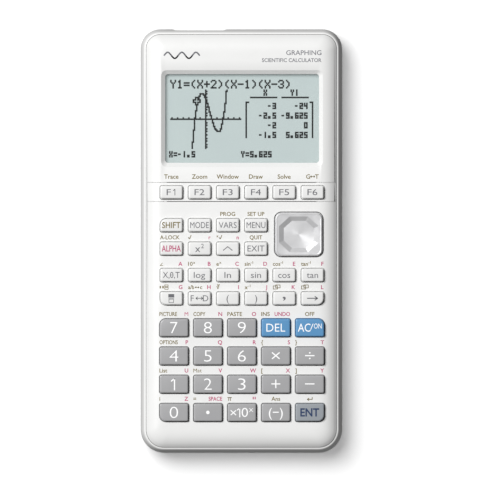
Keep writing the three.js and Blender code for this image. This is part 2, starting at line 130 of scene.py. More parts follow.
def loft(rings):
    """Vertices and faces of a closed solid through rings of equal point counts, lowest first."""
    n = len(rings[0])
    verts = [p for ring in rings for p in ring]
    faces = []
    for k in range(len(rings) - 1):
        for i in range(n):
            j = (i + 1) % n
            faces.append((k * n + i, k * n + j, (k + 1) * n + j, (k + 1) * n + i))
    faces.append(tuple(reversed(range(n))))
    faces.append(tuple(range(len(verts) - n, len(verts))))
    return verts, faces


def straight(outline, z0, z1):
    return loft([at_height(outline, z) for z in (z0, z1)])


def risen(outline_at, profile):
    """A solid whose outline at each height is outline_at(grow), for (grow, height) pairs, lowest first."""
    return loft([at_height(outline_at(grow), z) for grow, z in profile])


def bevelled(z0, z1, bevel, chamfer=None):
    """The (grow, height) pairs of a plate whose edges are bevelled at both faces."""
    chamfer = bevel if chamfer is None else chamfer
    return [(-bevel, z0), (0, z0 + chamfer), (0, z1 - chamfer), (-bevel, z1)]


def block(x0, x1, y0, y1, z0, z1):
    return straight([(x0, y0), (x1, y0), (x1, y1), (x0, y1)], z0, z1)


def bar(x, y, half_w, half_h, z0, z1):
    return block(x - half_w, x + half_w, y - half_h, y + half_h, z0, z1)


def plate(w, h, r, steps, cx, cy, profile):
    """A rectangular plate with rounded corners, from (grow, height) pairs."""
    return risen(lambda grow: rounded(w + 2 * grow, h + 2 * grow, r, steps, cx, cy), profile)


def slab(w, h, r, cx, cy, z0, z1, steps=4):
    return plate(w, h, r, steps, cx, cy, [(0, z0), (0, z1)])


def turned(profile, sides, cx=0.0, cy=0.0):
    """A solid turned about Z from (radius, height) pairs, lowest first; no radius is zero."""
    return risen(lambda r: circle(r, sides, cx, cy), profile)


def along_y(shape, x, z):
    """Lays a solid that was turned about Z down along +Y, with its axis at x and z."""
    verts, faces = shape
    return [(x + a, c, z + b) for a, b, c in verts], [tuple(reversed(f)) for f in faces]


def together(shapes):
    """Several separate solids as one list of vertices and faces."""
    verts, faces = [], []
    for v, f in shapes:
        start = len(verts)
        verts += v
        faces += [tuple(start + i for i in face) for face in f]
    return verts, faces


def make_object(name, shape):
    mesh = bpy.data.meshes.new(name)
    mesh.from_pydata(shape[0], [], shape[1])
    obj = bpy.data.objects.new(name, mesh)
    bpy.context.scene.collection.objects.link(obj)
    return obj


def drop(obj):
    mesh = obj.data
    bpy.data.objects.remove(obj)
    bpy.data.meshes.remove(mesh)


def settle(obj):
    """Applies the object's modifiers to its mesh."""
    bpy.context.view_layer.update()
    done = bpy.data.meshes.new_from_object(obj.evaluated_get(bpy.context.evaluated_depsgraph_get()))
    old = obj.data
    obj.modifiers.clear()
    obj.data = done
    bpy.data.meshes.remove(old)


def combine(obj, operation, shapes):
    """Cuts shapes out of obj or joins them on, one after another; the solids of one shape don't touch."""
    for shape in shapes:
        tool = make_object("tool", shape)
        modifier = obj.modifiers.new("combine", "BOOLEAN")
        modifier.operation = operation
        modifier.solver = "MANIFOLD"
        modifier.object = tool
        settle(obj)
        drop(tool)


def cut(obj, *shapes):
    combine(obj, "DIFFERENCE", shapes)


def join(obj, *shapes):
    combine(obj, "UNION", shapes)


def finish_piece(obj, material, body="case", stands_for=None, smooth=35.0):
    """Scales a piece to metres, shades it, gives it its material and puts it on its body."""
    mesh = obj.data
    mesh.transform(Matrix.Scale(MM, 4))
    if smooth:
        mesh.shade_smooth()
        mesh.set_sharp_from_angle(angle=math.radians(smooth))
    mesh.materials.clear()
    mesh.materials.append(material)
    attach(obj, body)
    if stands_for:
        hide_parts(stands_for)


def piece(name, shape, material, body="case", stands_for=None, smooth=35.0):
    finish_piece(make_object(name, shape), material, body, stands_for, smooth)


# ---- materials
class Material:
    """A Principled material with a few procedural layers; each method adds one layer."""

    def __init__(self, name, color, roughness, **constants):
        self.material = bpy.data.materials.new(name)
        self.material.use_nodes = True
        self.tree = self.material.node_tree
        self.shader = self.tree.nodes["Principled BSDF"]
        self.roughness = roughness
        self.set(Base_Color=(*color, 1), Roughness=roughness, **constants)
        self.place = self.node("TexCoord").outputs["Object"]
        self.height = None

    def set(self, **constants):
        for key, value in constants.items():
            self.shader.inputs[key.replace("_", " ")].default_value = value

    def node(self, kind, inputs=(), **settings):
        """A node with its settings; an input is a number, a colour or another node's output."""
        made = self.tree.nodes.new("ShaderNode" + kind)
        for key, value in settings.items():
            setattr(made, key, value)
        for key, value in dict(inputs).items():
            if isinstance(value, bpy.types.NodeSocket):
                self.tree.links.new(value, made.inputs[key])
            else:
                made.inputs[key].default_value = value
        return made

    def feed(self, output, socket):
        self.tree.links.new(output, self.shader.inputs[socket])

    def noise(self, scale, detail=2.0, distortion=0.0, stretch=None):
        place = self.place
        if stretch:
            place = self.node("Mapping", {"Scale": stretch, "Vector": place}).outputs["Vector"]
        inputs = {"Scale": scale, "Detail": detail, "Distortion": distortion, "Vector": place}
        return self.node("TexNoise", inputs).outputs["Fac"]

    def ramp(self, fac, low, high, a, b):
        """fac from low to high becomes a to b, held at both ends."""
        inputs = {"Value": fac, "From Min": low, "From Max": high, "To Min": a, "To Max": b}
        return self.node("MapRange", inputs).outputs["Result"]

    def tint(self, fac, other):
        """Blends the base colour towards another as fac goes from 0 to 1."""
        base = self.shader.inputs["Base Color"]
        under = base.links[0].from_socket if base.is_linked else tuple(base.default_value)
        mix = self.node("Mix", {"A": under, "B": (*other, 1), "Factor": fac}, data_type="RGBA")
        self.feed(mix.outputs["Result"], "Base Color")
        return self

    def mottle(self, scale, other, share=1.0):
        """Slow changes of colour, as moulded and handled surfaces have."""
        return self.tint(self.ramp(self.noise(scale, 3), 0.35, 0.7, 0, share), other)

    def uneven_gloss(self, scale, spread):
        """Roughness that wanders about its middle value."""
        low, high = self.roughness - spread, self.roughness + spread
        self.feed(self.ramp(self.noise(scale, 4, 0.4), 0.3, 0.7, low, high), "Roughness")
        return self

    def relief(self, height, strength, distance_mm):
        """Adds a bump from a height; several stack up."""
        inputs = {"Strength": strength, "Distance": distance_mm * MM, "Height": height}
        if self.height:
            inputs["Normal"] = self.height
        self.height = self.node("Bump", inputs).outputs["Normal"]
        self.feed(self.height, "Normal")
        return self

    def grain(self, scale, strength, distance_mm=0.02):
        return self.relief(self.noise(scale), strength, distance_mm)


def srgb(*values):
    """A colour as seen, 0 to 255 a channel, as the linear values that a shader takes."""
    return tuple((v / 255 / 12.92) if v <= 10 else ((v / 255 + 0.055) / 1.055) ** 2.4 for v in values)


def moulded(name, color, shade, roughness, spread=0.05, grain=0.12):
    """Moulded plastic: a fine spark-eroded grain, uneven gloss, and faint handling marks."""
    made = Material(name, color, roughness, Specular_IOR_Level=0.5)
    made.mottle(60, shade, 0.6).uneven_gloss(240, spread)
    return made.grain(5200, grain, 0.012).grain(700, 0.05, 0.03).material


case_plastic = moulded("case_plastic", srgb(230, 230, 229), srgb(226, 226, 225), 0.36)
white_key_plastic = moulded("white_key_plastic", srgb(228, 228, 227), srgb(224, 224, 223), 0.34, grain=0.08)
grey_key_plastic = moulded("grey_key_plastic", srgb(166, 166, 167), srgb(161, 161, 163), 0.33, grain=0.16)
blue_key_plastic = moulded("blue_key_plastic", srgb(92, 147, 192), srgb(86, 141, 187), 0.33, grain=0.14)
enter_key_plastic = moulded("enter_key_plastic", srgb(152, 157, 162), srgb(146, 152, 158), 0.33, grain=0.16)


def silver(name, radial):
    """Metallised plastic; on the dish's floor it is spun, with fine rings round the middle."""
    made = Material(name, srgb(222, 222, 223), 0.36, Metallic=0.42)
    made.mottle(120, srgb(204, 204, 206), 0.6).uneven_gloss(500, 0.04).grain(3800, 0.1, 0.01)
    if radial:
        made.set(Metallic=0.28, Anisotropic=0.5, Anisotropic_Rotation=0.25)
        made.feed(made.node("Tangent", direction_type="RADIAL", axis="Z").outputs["Tangent"], "Tangent")
    return made.material


def clear():
    made = Material("clear_plastic", srgb(150, 160, 158), 0.05, Alpha=0.03, Specular_IOR_Level=0.3)
    return made.uneven_gloss(300, 0.02).material


def liquid_crystal():
    """The display's reflective back layer, with the faint grid of its unlit dots."""
    made = Material("lcd_background", srgb(184, 196, 195), 0.55, Specular_IOR_Level=0.2)
    made.mottle(45, srgb(181, 193, 193), 0.7)
    separate = made.node("SeparateXYZ", {"Vector": made.place})
    for axis, pitch in zip("XY", DOT_PITCH):
        inputs = {0: separate.outputs[axis], 1: pitch * MM / 2}
        wave = made.node("Math", inputs, operation="PINGPONG")
        made.tint(made.ramp(wave.outputs["Value"], 0.0, 0.06 * MM, 0.12, 0.0), srgb(165, 178, 178))
    return made.grain(2500, 0.04, 0.01).material


def banded(name, color, other, scale, roughness, metallic=0.0):
    """A surface with fine parallel lines, such as copper traces or the folds of a wrap."""
    made = Material(name, color, roughness, Metallic=metallic)
    inputs = {"Scale": scale, "Distortion": 3.0, "Detail": 2.0, "Vector": made.place}
    wave = made.node("TexWave", inputs, wave_type="BANDS", bands_direction="X")
    line = made.ramp(wave.outputs["Fac"], 0.72, 0.8, 0, 1)
    return made.tint(line, other).relief(line, 0.3, 0.03).uneven_gloss(300, 0.05).material


def rubbery(name, color, roughness=0.75):
    made = Material(name, color, roughness, Specular_IOR_Level=0.35)
    made.mottle(300, tuple(c * 0.8 for c in color), 0.7)
    return made.uneven_gloss(200, 0.08).grain(2600, 0.3, 0.03).material


def metal(name, color, roughness, stretch, dulling=0.78, metallic=1.0):
    """Drawn or pressed metal: fine scratches along one way, and slightly dulled patches."""
    made = Material(name, color, roughness, Metallic=metallic)
    made.mottle(220, tuple(c * dulling for c in color), 0.7).uneven_gloss(160, 0.08)
    return made.relief(made.noise(900, 3, stretch=stretch), 0.12, 0.01).material


rear_plastic = moulded("rear_plastic", srgb(230, 230, 229), srgb(226, 226, 225), 0.42, grain=0.22)
black_plastic = moulded("black_plastic", srgb(38, 38, 40), srgb(30, 30, 32), 0.42, grain=0.2)
rubber = rubbery("foot_rubber", srgb(120, 122, 125))
mat_rubber = rubbery("mat_rubber", srgb(150, 156, 160))
steel = metal("steel", srgb(200, 200, 202), 0.28, (1, 0.05, 1))
brass = metal("brass", srgb(214, 178, 104), 0.3, (0.05, 1, 1))
plate_foil = metal("plate_foil", srgb(214, 214, 216), 0.45, (0.03, 1, 1), 0.94, 0.4)
plate_foil.node_tree.nodes["Principled BSDF"].inputs["Metallic"].default_value = 0.4
board_green = banded("board_green", srgb(34, 92, 58), srgb(52, 122, 78), 320, 0.4)
ribbon_film = banded("ribbon_film", srgb(176, 138, 60), srgb(206, 172, 92), 900, 0.4)
cell_wrap = banded("cell_wrap", srgb(44, 62, 84), srgb(56, 78, 104), 60, 0.3, 0.5)
cell_band = banded("cell_band", srgb(190, 150, 92), srgb(204, 166, 108), 60, 0.3, 0.7)
DOT_PITCH = (0.465, 0.5)
pad_silver = silver("pad_silver", False)
dish_silver = silver("dish_silver", True)
clear_plastic = clear()
lcd_background = liquid_crystal()


def ink(name, color, roughness=0.5):
    """Pad-printed ink: slightly uneven cover over the plastic."""
    made = Material(name, srgb(*color), roughness)
    paler = tuple(min(1, c * 1.18 + 0.01) for c in srgb(*color))
    return made.mottle(900, paler, 0.7).grain(3000, 0.1, 0.01).material


lcd_ink = ink("lcd_ink", (6, 8, 10), 0.8)
INK_COLORS = {
    "grey": (112, 112, 118), "dark": (92, 92, 97), "white": (250, 250, 250),
    "gold": (102, 86, 0), "crimson": (172, 24, 92), "navy": (4, 42, 84),
}
inks = {name: ink("ink_" + name, color) for name, color in INK_COLORS.items()}


# ---- heights of the front face


def case_outline(inset, steps=14, keep=0.0):
    """The case outline moved in by inset; keep holds back that share of the corners' shrinking."""
    bottom, top = (max(corner - inset * (1 - keep), 0.8) for corner in (BOTTOM_CORNER, TOP_CORNER))
    return rounded(WIDTH - 2 * inset, LENGTH - 2 * inset, (bottom, top, top, bottom), steps)


def crown(d):
    """Height of the front face at a distance d in from the front case's edge."""
    d = min(max(d, 0), CROWN_W)
    return FACE_Z - (FACE_Z - EDGE_Z) * (1 - d / CROWN_W) ** CROWN_POWER


def face_height(x, y):
    edge = min(WIDTH / 2 - abs(x), LENGTH / 2 - abs(y))
    return crown(edge - FRONT_INSET)


def above_face(rise):
    return lambda x, y: face_height(x, y) + rise


# ---- front case
def node_outline(name, grow, corners, steps):
    """A key's or the pad's outline above its flange, moved out by grow."""
    box = Box(name)
    more = 2 * (grow - KEY_FLANGE_W)
    return rounded(box.w + more, box.h + more, corners, steps, box.x, box.y)


def key_outline(name, grow):
    radii = [KEY_CORNER + max(grow, -0.4)] * 4
    if name in BIG_CORNER:
        radii[BIG_CORNER[name]] = KEY_BIG_CORNER + grow
    return node_outline(name, grow, radii, 5)


def pad_outline(grow, steps=8):
    return node_outline("cursor_pad", grow, KEY_BIG_CORNER + grow, steps)


def beside(outline, rest=KEY_REST):
    """Keys rest a little to the upper left in their openings."""
    return [(x + rest, y - rest) for x, y in outline]


def opening(outline_at, clearance, roll=0.08):
    """A cutter for an opening whose top edge is rolled over, following the crowned face."""
    steps = [(0, -1.4 * roll), (0.4 * roll, -0.4 * roll), (roll, 0.1 * roll), (2 * roll, 2)]
    profile = [(clearance, SKIRT_Z)] + [(clearance + grow, above_face(rise)) for grow, rise in steps]
    return risen(outline_at, profile)


WINDOW_LAP = 1.5
window_box = Box("display_window")
WINDOW_W, WINDOW_H = window_box.w - 2 * WINDOW_LAP, window_box.h - 2 * WINDOW_LAP
WINDOW_X, WINDOW_Y = window_box.x, window_box.y
RECESS = {"left": 1.7, "right": 1.7, "top": 1.6, "bottom": 1.8}
RECESS_LAND_Z = 18.2
RECESS_SLOPE = (  # share of the way out, corner radius, height over the face
    (0.9, 2.2, -0.16), (0.98, 2.35, -0.04), (1.12, 2.6, 0.06), (1.2, 2.7, 1),
)
WINDOW_FRAME = (35.25, 22.5)  # half sizes of the thick frame behind the window
WINDOW_FRAME_Z = 16.5
GROOVES_Y = (24.2, 16.3)
GROOVE_W, GROOVE_DEPTH = 0.28, 0.1
SHELL_INSET, CEILING_INSET = 3.7, 6.4
ROLL_W = 0.4  # the front case's edge rolls over within this width
EDGE_ROLL = ((0, -0.34), (0.03, -0.16), (0.12, 0.0), (0.28, 0.13))
CORNER_KEEP = 0.45  # the share of the corners' shrinking that the crown holds back


def window_outline(grow):
    return rounded(WINDOW_W + 2 * grow, WINDOW_H + 2 * grow, 1.2, 6, WINDOW_X, WINDOW_Y)


def recess_outline(share, corner):
    """The sloped recess's outline, a share of the way from the window out to its upper edge."""
    left, right, top, bottom = (RECESS[k] * share for k in ("left", "right", "top", "bottom"))
    cx = WINDOW_X + (right - left) / 2
    cy = WINDOW_Y + (top - bottom) / 2
    return rounded(WINDOW_W + left + right, WINDOW_H + top + bottom, corner, 6, cx, cy)


def groove(y, pieces=60):
    """A cutter for a fine groove right across the crowned face."""
    edge = WIDTH / 2 - FRONT_INSET
    rings = []
    for i in range(pieces + 1):
        x = -edge - 1 + i * (2 * edge + 2) / pieces
        bottom, half = face_height(x, y) - GROOVE_DEPTH, GROOVE_W / 2
        rings.append([(x, y + half, bottom), (x, y - half, bottom), (x, y - half, 22), (x, y + half, 22)])
    return loft(rings)


def front_shell(crown_steps=16):
    rings = [at_height(case_outline(FRONT_INSET), SKIRT_Z)]
    rings += [at_height(case_outline(FRONT_INSET + d), EDGE_Z + rise) for d, rise in EDGE_ROLL]
    for i in range(1, crown_steps + 1):
        d = ROLL_W + (CROWN_W - ROLL_W) * i / crown_steps
        rings.append(at_height(case_outline(FRONT_INSET + d, keep=CORNER_KEEP * d / CROWN_W), crown(d)))
    shell = make_object("front_shell", loft(rings))
    inside = [(SHELL_INSET, SKIRT_Z - 1), (SHELL_INSET, RIM_Z - GAP), (CEILING_INSET, FACE_INNER_Z)]
    cut(shell, risen(case_outline, inside))
    join(shell, bar(WINDOW_X, WINDOW_Y, *WINDOW_FRAME, WINDOW_FRAME_Z, FACE_INNER_Z + 0.5))
    recess = [at_height(window_outline(0), z) for z in (17, RECESS_LAND_Z)]
    recess += [at_height(recess_outline(share, corner), FACE_Z + up) for share, corner, up in RECESS_SLOPE]
    cut(shell, straight(window_outline(WINDOW_LAP + GAP), 15, FACE_INNER_Z), loft(recess))
    openings = [opening(lambda grow, n=name: beside(key_outline(n, grow)), KEY_SLIT) for name in KEY_NODES]
    openings.append(opening(lambda grow: beside(pad_outline(grow), PAD_REST), PAD_SLIT, 0.2))
    cut(shell, together(openings), *map(groove, GROOVES_Y))
    finish_piece(shell, case_plastic, "case", "front_case", 30)


front_shell()


# ---- keys
def key_material(name):
    if name in BLUE_KEYS:
        return blue_key_plastic, "blue_key"
    if name == "key_enter":
        return enter_key_plastic, "grey_key"
    if Box(name).w - 2 * KEY_FLANGE_W >= LARGE_KEY_MIN_W:
        return grey_key_plastic, "grey_key"
    return white_key_plastic, "white_key"


# A collar below this height nearly fills the slit round each key.
COLLAR_Z = {"white_key": 18.9, "grey_key": 18.95, "blue_key": 18.95, "silver_pad": 18.8}
KEY_TOP_Z = Box("key_one").z1 - PRINT_T - 0.01
STEP = 0.001  # the height over which an outline jumps in or out
# The sides and rolled edge of a cap: how far its outline grows, and how far that is below its top.
CAP_EDGE = ((-0.18, 0.36), (-0.22, 0.22), (-0.31, 0.115), (-0.62, 0.012), (-0.7, 0))
PAD_EDGE = ((-0.04, 0.6), (-0.1, 0.32), (-0.24, 0.12), (-0.42, 0.02), (-0.6, 0))


def cap_profile(box, top, slot, collar_grow, side_grow, edge):
    """A flange under the case, a collar in the opening, drafted sides and a rolled top edge."""
    flange_top, collar = box.z0 + KEY_FLANGE_T, COLLAR_Z[slot]
    profile = [(KEY_FLANGE_W, box.z0), (KEY_FLANGE_W, flange_top), (collar_grow, flange_top + STEP)]
    profile += [(collar_grow, collar), (side_grow, collar + STEP)]
    return profile + [(grow, top - depth) for grow, depth in edge]


def key_cap(name):
    material, slot = key_material(name)
    profile = cap_profile(Box(name), KEY_TOP_Z, slot, 0.1, -0.06, CAP_EDGE)
    cap = risen(lambda grow: key_outline(name, grow), profile)
    piece("cap_" + name[4:], cap, material, name, name, 50)


for name in KEY_NODES:
    key_cap(name)


# ---- cursor pad
pad_box = Box("cursor_pad")
PAD_X, PAD_Y, PAD_TOP_Z = pad_box.x, pad_box.y, pad_box.z1
DISH_RIM, DISH_FLOOR = (8.15, 7.4), (6.2, 5.6)  # half sizes
DISH_CUT = 0.27  # the share of a side that each cut takes off a corner
RIM_DROP = 0.12  # how far the rim falls from the pad's edge to the dish
DISH_DEPTH = 1.15
DISH_CONE = 0.35
DISH_EDGE = -0.62  # where the dish's slope meets the pad's rolled edge


def dish_outline(half_w, half_h):
    """A twelve-sided outline: each corner of a rectangle is cut off twice."""
    c, d = 1 - DISH_CUT, 1 - 2 * DISH_CUT
    corner = [(1, d), (c, c), (d, 1)]
    points = corner + [(-x, y) for x, y in reversed(corner)]
    points += [(-x, -y) for x, y in corner] + [(x, -y) for x, y in reversed(corner)]
    return [(PAD_X + x * half_w, PAD_Y + y * half_h) for x, y in points]


def pad_angle(point):
    return math.atan2(point[1] - PAD_Y, point[0] - PAD_X) % (2 * math.pi)


def cast(outline, angles):
    """Where rays from the pad's middle at these angles meet an outline."""
    points = []
    for angle in angles:
        dx, dy = math.cos(angle), math.sin(angle)
        for (ax, ay), (bx, by) in zip(outline, outline[1:] + outline[:1]):
            ax, ay, bx, by = ax - PAD_X, ay - PAD_Y, bx - PAD_X, by - PAD_Y
            turn = dx * (by - ay) - dy * (bx - ax)
            if abs(turn) < 1e-9:
                continue
            along = (ax * (by - ay) - ay * (bx - ax)) / turn
            share = (ax * dy - ay * dx) / turn
            if along > 0 and -1e-6 <= share <= 1 + 1e-6:
                points.append((PAD_X + dx * along, PAD_Y + dy * along))
                break
    return points


def cursor_pad(steps=16):
    profile = cap_profile(pad_box, PAD_TOP_Z, "silver_pad", 0.15, 0, PAD_EDGE)
    pad = make_object("pad_cap", risen(lambda grow: pad_outline(grow, steps), profile))
    edge = pad_outline(DISH_EDGE, steps)
    angles = sorted({round(pad_angle(p), 6) for p in dish_outline(*DISH_RIM) + edge})
    floor_z = PAD_TOP_Z - DISH_DEPTH
    bowl = [(dish_outline(0.03, 0.03), floor_z - DISH_CONE), (dish_outline(*DISH_FLOOR), floor_z)]
    bowl += [(dish_outline(*DISH_RIM), PAD_TOP_Z - RIM_DROP), (pad_outline(-0.85, steps), PAD_TOP_Z - 0.07)]
    bowl += [(edge, PAD_TOP_Z + 0.01), (edge, PAD_TOP_Z + OVERLAP)]
    cut(pad, loft([at_height(cast(outline, angles), z) for outline, z in bowl]))
    finish_piece(pad, pad_silver, "cursor_pad", "cursor_pad", 9)
    pad.data.materials.append(dish_silver)
    for polygon in pad.data.polygons:
        c = polygon.center / MM
        inside = abs(c.x - PAD_X) < DISH_FLOOR[0] and abs(c.y - PAD_Y) < DISH_FLOOR[1]
        if inside and pad_box.z0 + 1 < c.z < floor_z + STEP and polygon.normal.z > 0.9:
            polygon.material_index = 1


cursor_pad()


# ---- printed legends
CAP_SHARE = 0.682  # cap height of the built-in font at size 1
TEXT_SCALE = 50  # letters are outlined at this many times their size, which keeps their narrow parts whole
SUPER_SCALE = 0.62
SUPER_RISE = 0.55


def run_of_text(text, cap, bold=0.0, slant=0.0):
    """One run of raised print with its baseline at y = 0 and its left edge at x = 0, and its width."""
    curve = bpy.data.curves.new("run", "FONT")
    curve.body = text
    curve.size = cap / CAP_SHARE * TEXT_SCALE
    curve.extrude = PRINT_T / 2 * TEXT_SCALE
    curve.offset = bold * TEXT_SCALE
    curve.shear = slant
    curve.resolution_u = 3
    obj = bpy.data.objects.new("run", curve)
    bpy.context.scene.collection.objects.link(obj)
    mesh = bpy.data.meshes.new_from_object(obj.evaluated_get(bpy.context.evaluated_depsgraph_get()))
    points = [v.co / TEXT_SCALE for v in mesh.vertices]
    left = min(p.x for p in points)
    width = max(p.x for p in points) - left
    verts = [(p.x - left, p.y, p.z) for p in points]
    faces = [tuple(f.vertices) for f in mesh.polygons]
    bpy.data.objects.remove(obj)
    bpy.data.curves.remove(curve)
    bpy.data.meshes.remove(mesh)
    return verts, faces, width


def lettering(text, x, y, cap, align="centre", surface=above_face(0), fit=None, **style):
    """Print at x and y, the middle of its capitals' height; what lies between two ^ is raised and small.

    fit is the width that it is drawn out or narrowed to."""
    shapes, pen = [], 0
    for i, part in enumerate(text.split("^")):
        size, rise = (cap, 0) if i % 2 == 0 else (cap * SUPER_SCALE, cap * SUPER_RISE)
        if part:
            verts, faces, width = run_of_text(part, size, **style)
            shapes.append(([(a + pen, b + rise, c) for a, b, c in verts], faces))
            pen += width + cap * 0.1
    width = pen - cap * 0.1
    stretch = fit / width if fit else 1
    dx = x - {"left": 0, "centre": 0.5, "right": 1}[align] * width * stretch
    dy = y - cap / 2
    verts, faces = together(shapes)
    placed = [(a * stretch + dx, b + dy, c) for a, b, c in verts]
    return [(a, b, surface(a, b) + c + PRINT_T / 4) for a, b, c in placed], faces


def on_key(x, y):
    return KEY_TOP_Z


# Each key's legend and its width, then what is printed above the key at the left and at the right.
KEY_PRINT = {
    "f1": ("", 0, "Trace", ""), "f2": ("F2", 4.1, "Zoom", ""), "f3": ("F3", 4.1, "Window", ""),
    "f4": ("F4", 4.1, "Draw", ""), "f5": ("F5", 4.1, "Solve", ""), "f6": ("F6", 4.1, "", ""),
    "shift": ("SHIFT", 7.6, "", ""), "option": ("MODE", 7.7, "", ""), "variable": ("VARS", 7.4, "PROG", ""),
    "menu": ("MENU", 7.8, "SET UP", ""), "alpha": ("ALPHA", 7.9, "A-LOCK", ""),
    "square": ("x^2", 3.6, "√", "r"), "power": ("", 3.8, "^x^√", "n"), "exit": ("EXIT", 7.0, "QUIT", ""),
    "xt": ("X,0,T", 7.0, "∠", "A"), "log": ("log", 4.7, "10^x", "B"), "ln": ("ln", 2.7, "e^x", "C"),
    "sin": ("sin", 4.2, "sin^-1", "D"), "cos": ("cos", 5.0, "cos^-1", "E"),
    "tan": ("tan", 4.7, "tan^-1", "F"),
    "fraction": ("", 0, "", "G"), "convert": ("", 0, "", "H"), "open_bracket": ("(", 1.0, "∛", "I"),
    "close_bracket": (")", 1.0, "x^-1", "J"), "comma": (",", 1.3, "", "K"), "arrow": ("", 0, "", "L"),
    "seven": ("7", 3.0, "PICTURE", "M"), "eight": ("8", 3.3, "COPY", "N"), "nine": ("9", 3.3, "PASTE", "O"),
    "delete": ("DEL", 7.8, "INS", "UNDO"), "clear": ("", 0, "OFF", ""),
    "four": ("4", 3.6, "OPTIONS", "P"), "five": ("5", 3.1, "", "Q"), "six": ("6", 3.3, "", "R"),
    "multiply": ("×", 3.5, "{", "S"), "divide": ("÷", 3.9, "}", "T"),
    "one": ("", 0, "List", "U"), "two": ("2", 3.2, "Mat", "V"), "three": ("3", 3.1, "", "W"),
    "plus": ("+", 3.7, "[", "X"), "minus": ("−", 3.9, "]", "Y"),
    "zero": ("0", 3.5, "i", "Z"), "point": ("•", 1.4, "=", "SPACE"), "exponent": ("", 0, "", ""),
    "negate": ("(−)", 5.8, "Ans", ""), "enter": ("ENT", 7.8, "", ""),
}
CENTRED_ABOVE = {"variable", "menu", "exit", "clear", "negate", "enter"}
LABEL_CAP = 1.6
SOFT_LABEL_CAP = 1.75
LABEL_BOLD = 0.035
LABEL_WIDTHS = {
    "PICTURE": 7.3, "OPTIONS": 7.6, "PASTE": 6.1, "UNDO": 6.4, "SPACE": 5.6, "A-LOCK": 8.2, "COPY": 5.0,
    "SET UP": 7.0, "PROG": 6.2, "QUIT": 5.2, "INS": 3.5, "OFF": 3.9,
}
LABEL_WIDTHS.update({"SET UP": 7.0, "PROG": 6.2, "QUIT": 5.2, "INS": 3.5, "OFF": 3.9})
WHITE_KEY_CAP = 2.45
COMMA_RISE = 2.2  # lifts the comma from the line to the middle of its key
DIGIT_CAP = 4.8
CAPS = {
    "plus": 5.4, "minus": 5.4, "multiply": 5.2, "divide": 5.4, "delete": 3.3, "clear": 3.3, "enter": 3.2,
    "exponent": 3.8, "negate": 3.6, "point": 4.6, "square": 2.9, "comma": 4.8,
    "open_bracket": 2.7, "close_bracket": 2.7,
}
WEIGHTS = {"delete": -0.02, "enter": 0.11, "shift": 0.035, "alpha": 0.035}
DIGIT_WEIGHT = -0.1
LEGEND_INKS = {"shift": "gold", "alpha": "crimson", "enter": "navy"}
SOFT_LABEL_RISE, LABEL_RISE = 3.7, 1.85  # from a key's top edge to the middle of its label
CAPS.update({"exponent": 3.8, "negate": 3.6, "point": 4.6, "square": 2.9, "comma": 4.8})
CAPS.update({"open_bracket": 2.7, "close_bracket": 2.7})


def strokes(paths, width, surface):
    """Printed lines of one width along paths of (x, y) points."""
    shapes = []
    for path in paths:
        for (ax, ay), (bx, by) in zip(path, path[1:]):
            length = math.hypot(bx - ax, by - ay)
            nx, ny = -(by - ay) / length * width / 2, (bx - ax) / length * width / 2
            ex, ey = (bx - ax) / length * width * 0.3, (by - ay) / length * width * 0.3
            outline = [(ax - ex - nx, ay - ey - ny), (bx + ex - nx, by + ey - ny)]
            outline += [(bx + ex + nx, by + ey + ny), (ax - ex + nx, ay - ey + ny)]
            shapes.append(loft([
                [(x, y, surface(x, y) + dz) for x, y in outline] for dz in (-PRINT_T / 4, 0.75 * PRINT_T)
            ]))
    return shapes


def moved(x, y, *paths):
    return [[(x + a, y + b) for a, b in path] for path in paths]


def box_path(x0, x1, y0, y1):
    return [(x0, y0), (x1, y0), (x1, y1), (x0, y1), (x0, y0)]


def solid_box(x0, x1, y0, y1, surface):
    return strokes([[(x0, (y0 + y1) / 2), (x1, (y0 + y1) / 2)]], y1 - y0, surface)


def two_way_arrow(x, y, half, width, surface):
    """A short line with a head at each end."""
    paths = [[(x - half, y), (x + half, y)]]
    for side in (-1, 1):
        tip, back = x + side * half, x + side * half - side * half * 0.42
        paths.append([(back, y + half * 0.42), (tip, y), (back, y - half * 0.42)])
    return strokes(paths, width, surface)


def drawn_label(name, x0, x1, y):
    """The gold labels that aren't letters, or have a sign among their letters that is drawn."""
    face, middle_x = above_face(0), (x0 + x1) / 2

    def letters(text, x, cap, align="left", fit=None):
        return lettering(text, x, y, cap, align, fit=fit, bold=LABEL_BOLD)

    if name == "f6":
        shapes = [letters("G", middle_x - 2.6, SOFT_LABEL_CAP)]
        shapes.append(letters("T", middle_x + 2.6, SOFT_LABEL_CAP, "right"))
        return shapes + two_way_arrow(middle_x + 0.1, y, 0.85, 0.26, face)
    if name == "convert":
        shapes = [letters("a/b", x0, LABEL_CAP, fit=2.5), letters("c", x0 + 4.9, LABEL_CAP)]
        return shapes + two_way_arrow(x0 + 3.7, y - 0.1, 0.75, 0.24, face)
    if name == "exponent":
        legs = [(0.65, 0.5), (0.5, -0.8)], [(1.25, 0.5), (1.3, -0.8)]
        return strokes(moved(x0, y, [(0.1, 0.5), (1.8, 0.5)], *legs), 0.28, face)
    if name == "enter":
        path, head = [(1.0, 0.6), (1.0, -0.25), (-0.9, -0.25)], [(-0.35, 0.25), (-1.0, -0.25), (-0.35, -0.75)]
        return strokes(moved(middle_x, y, path, head), 0.3, face)
    if name == "fraction":
        boxes = moved(x0, y, box_path(2.0, 3.4, -0.9, -0.1), box_path(2.0, 3.4, 0.2, 0.9))
        return solid_box(x0 + 0.2, x0 + 1.3, y - 0.5, y + 0.5, face) + strokes(boxes, 0.24, face)
    if name in ("comma", "arrow"):
        boxes = moved(x0, y, box_path(0.2, 1.9, -0.8, 0.5), box_path(1.2, 3.0, -0.3, 0.9))
        return strokes(boxes, 0.26, face)
    return []


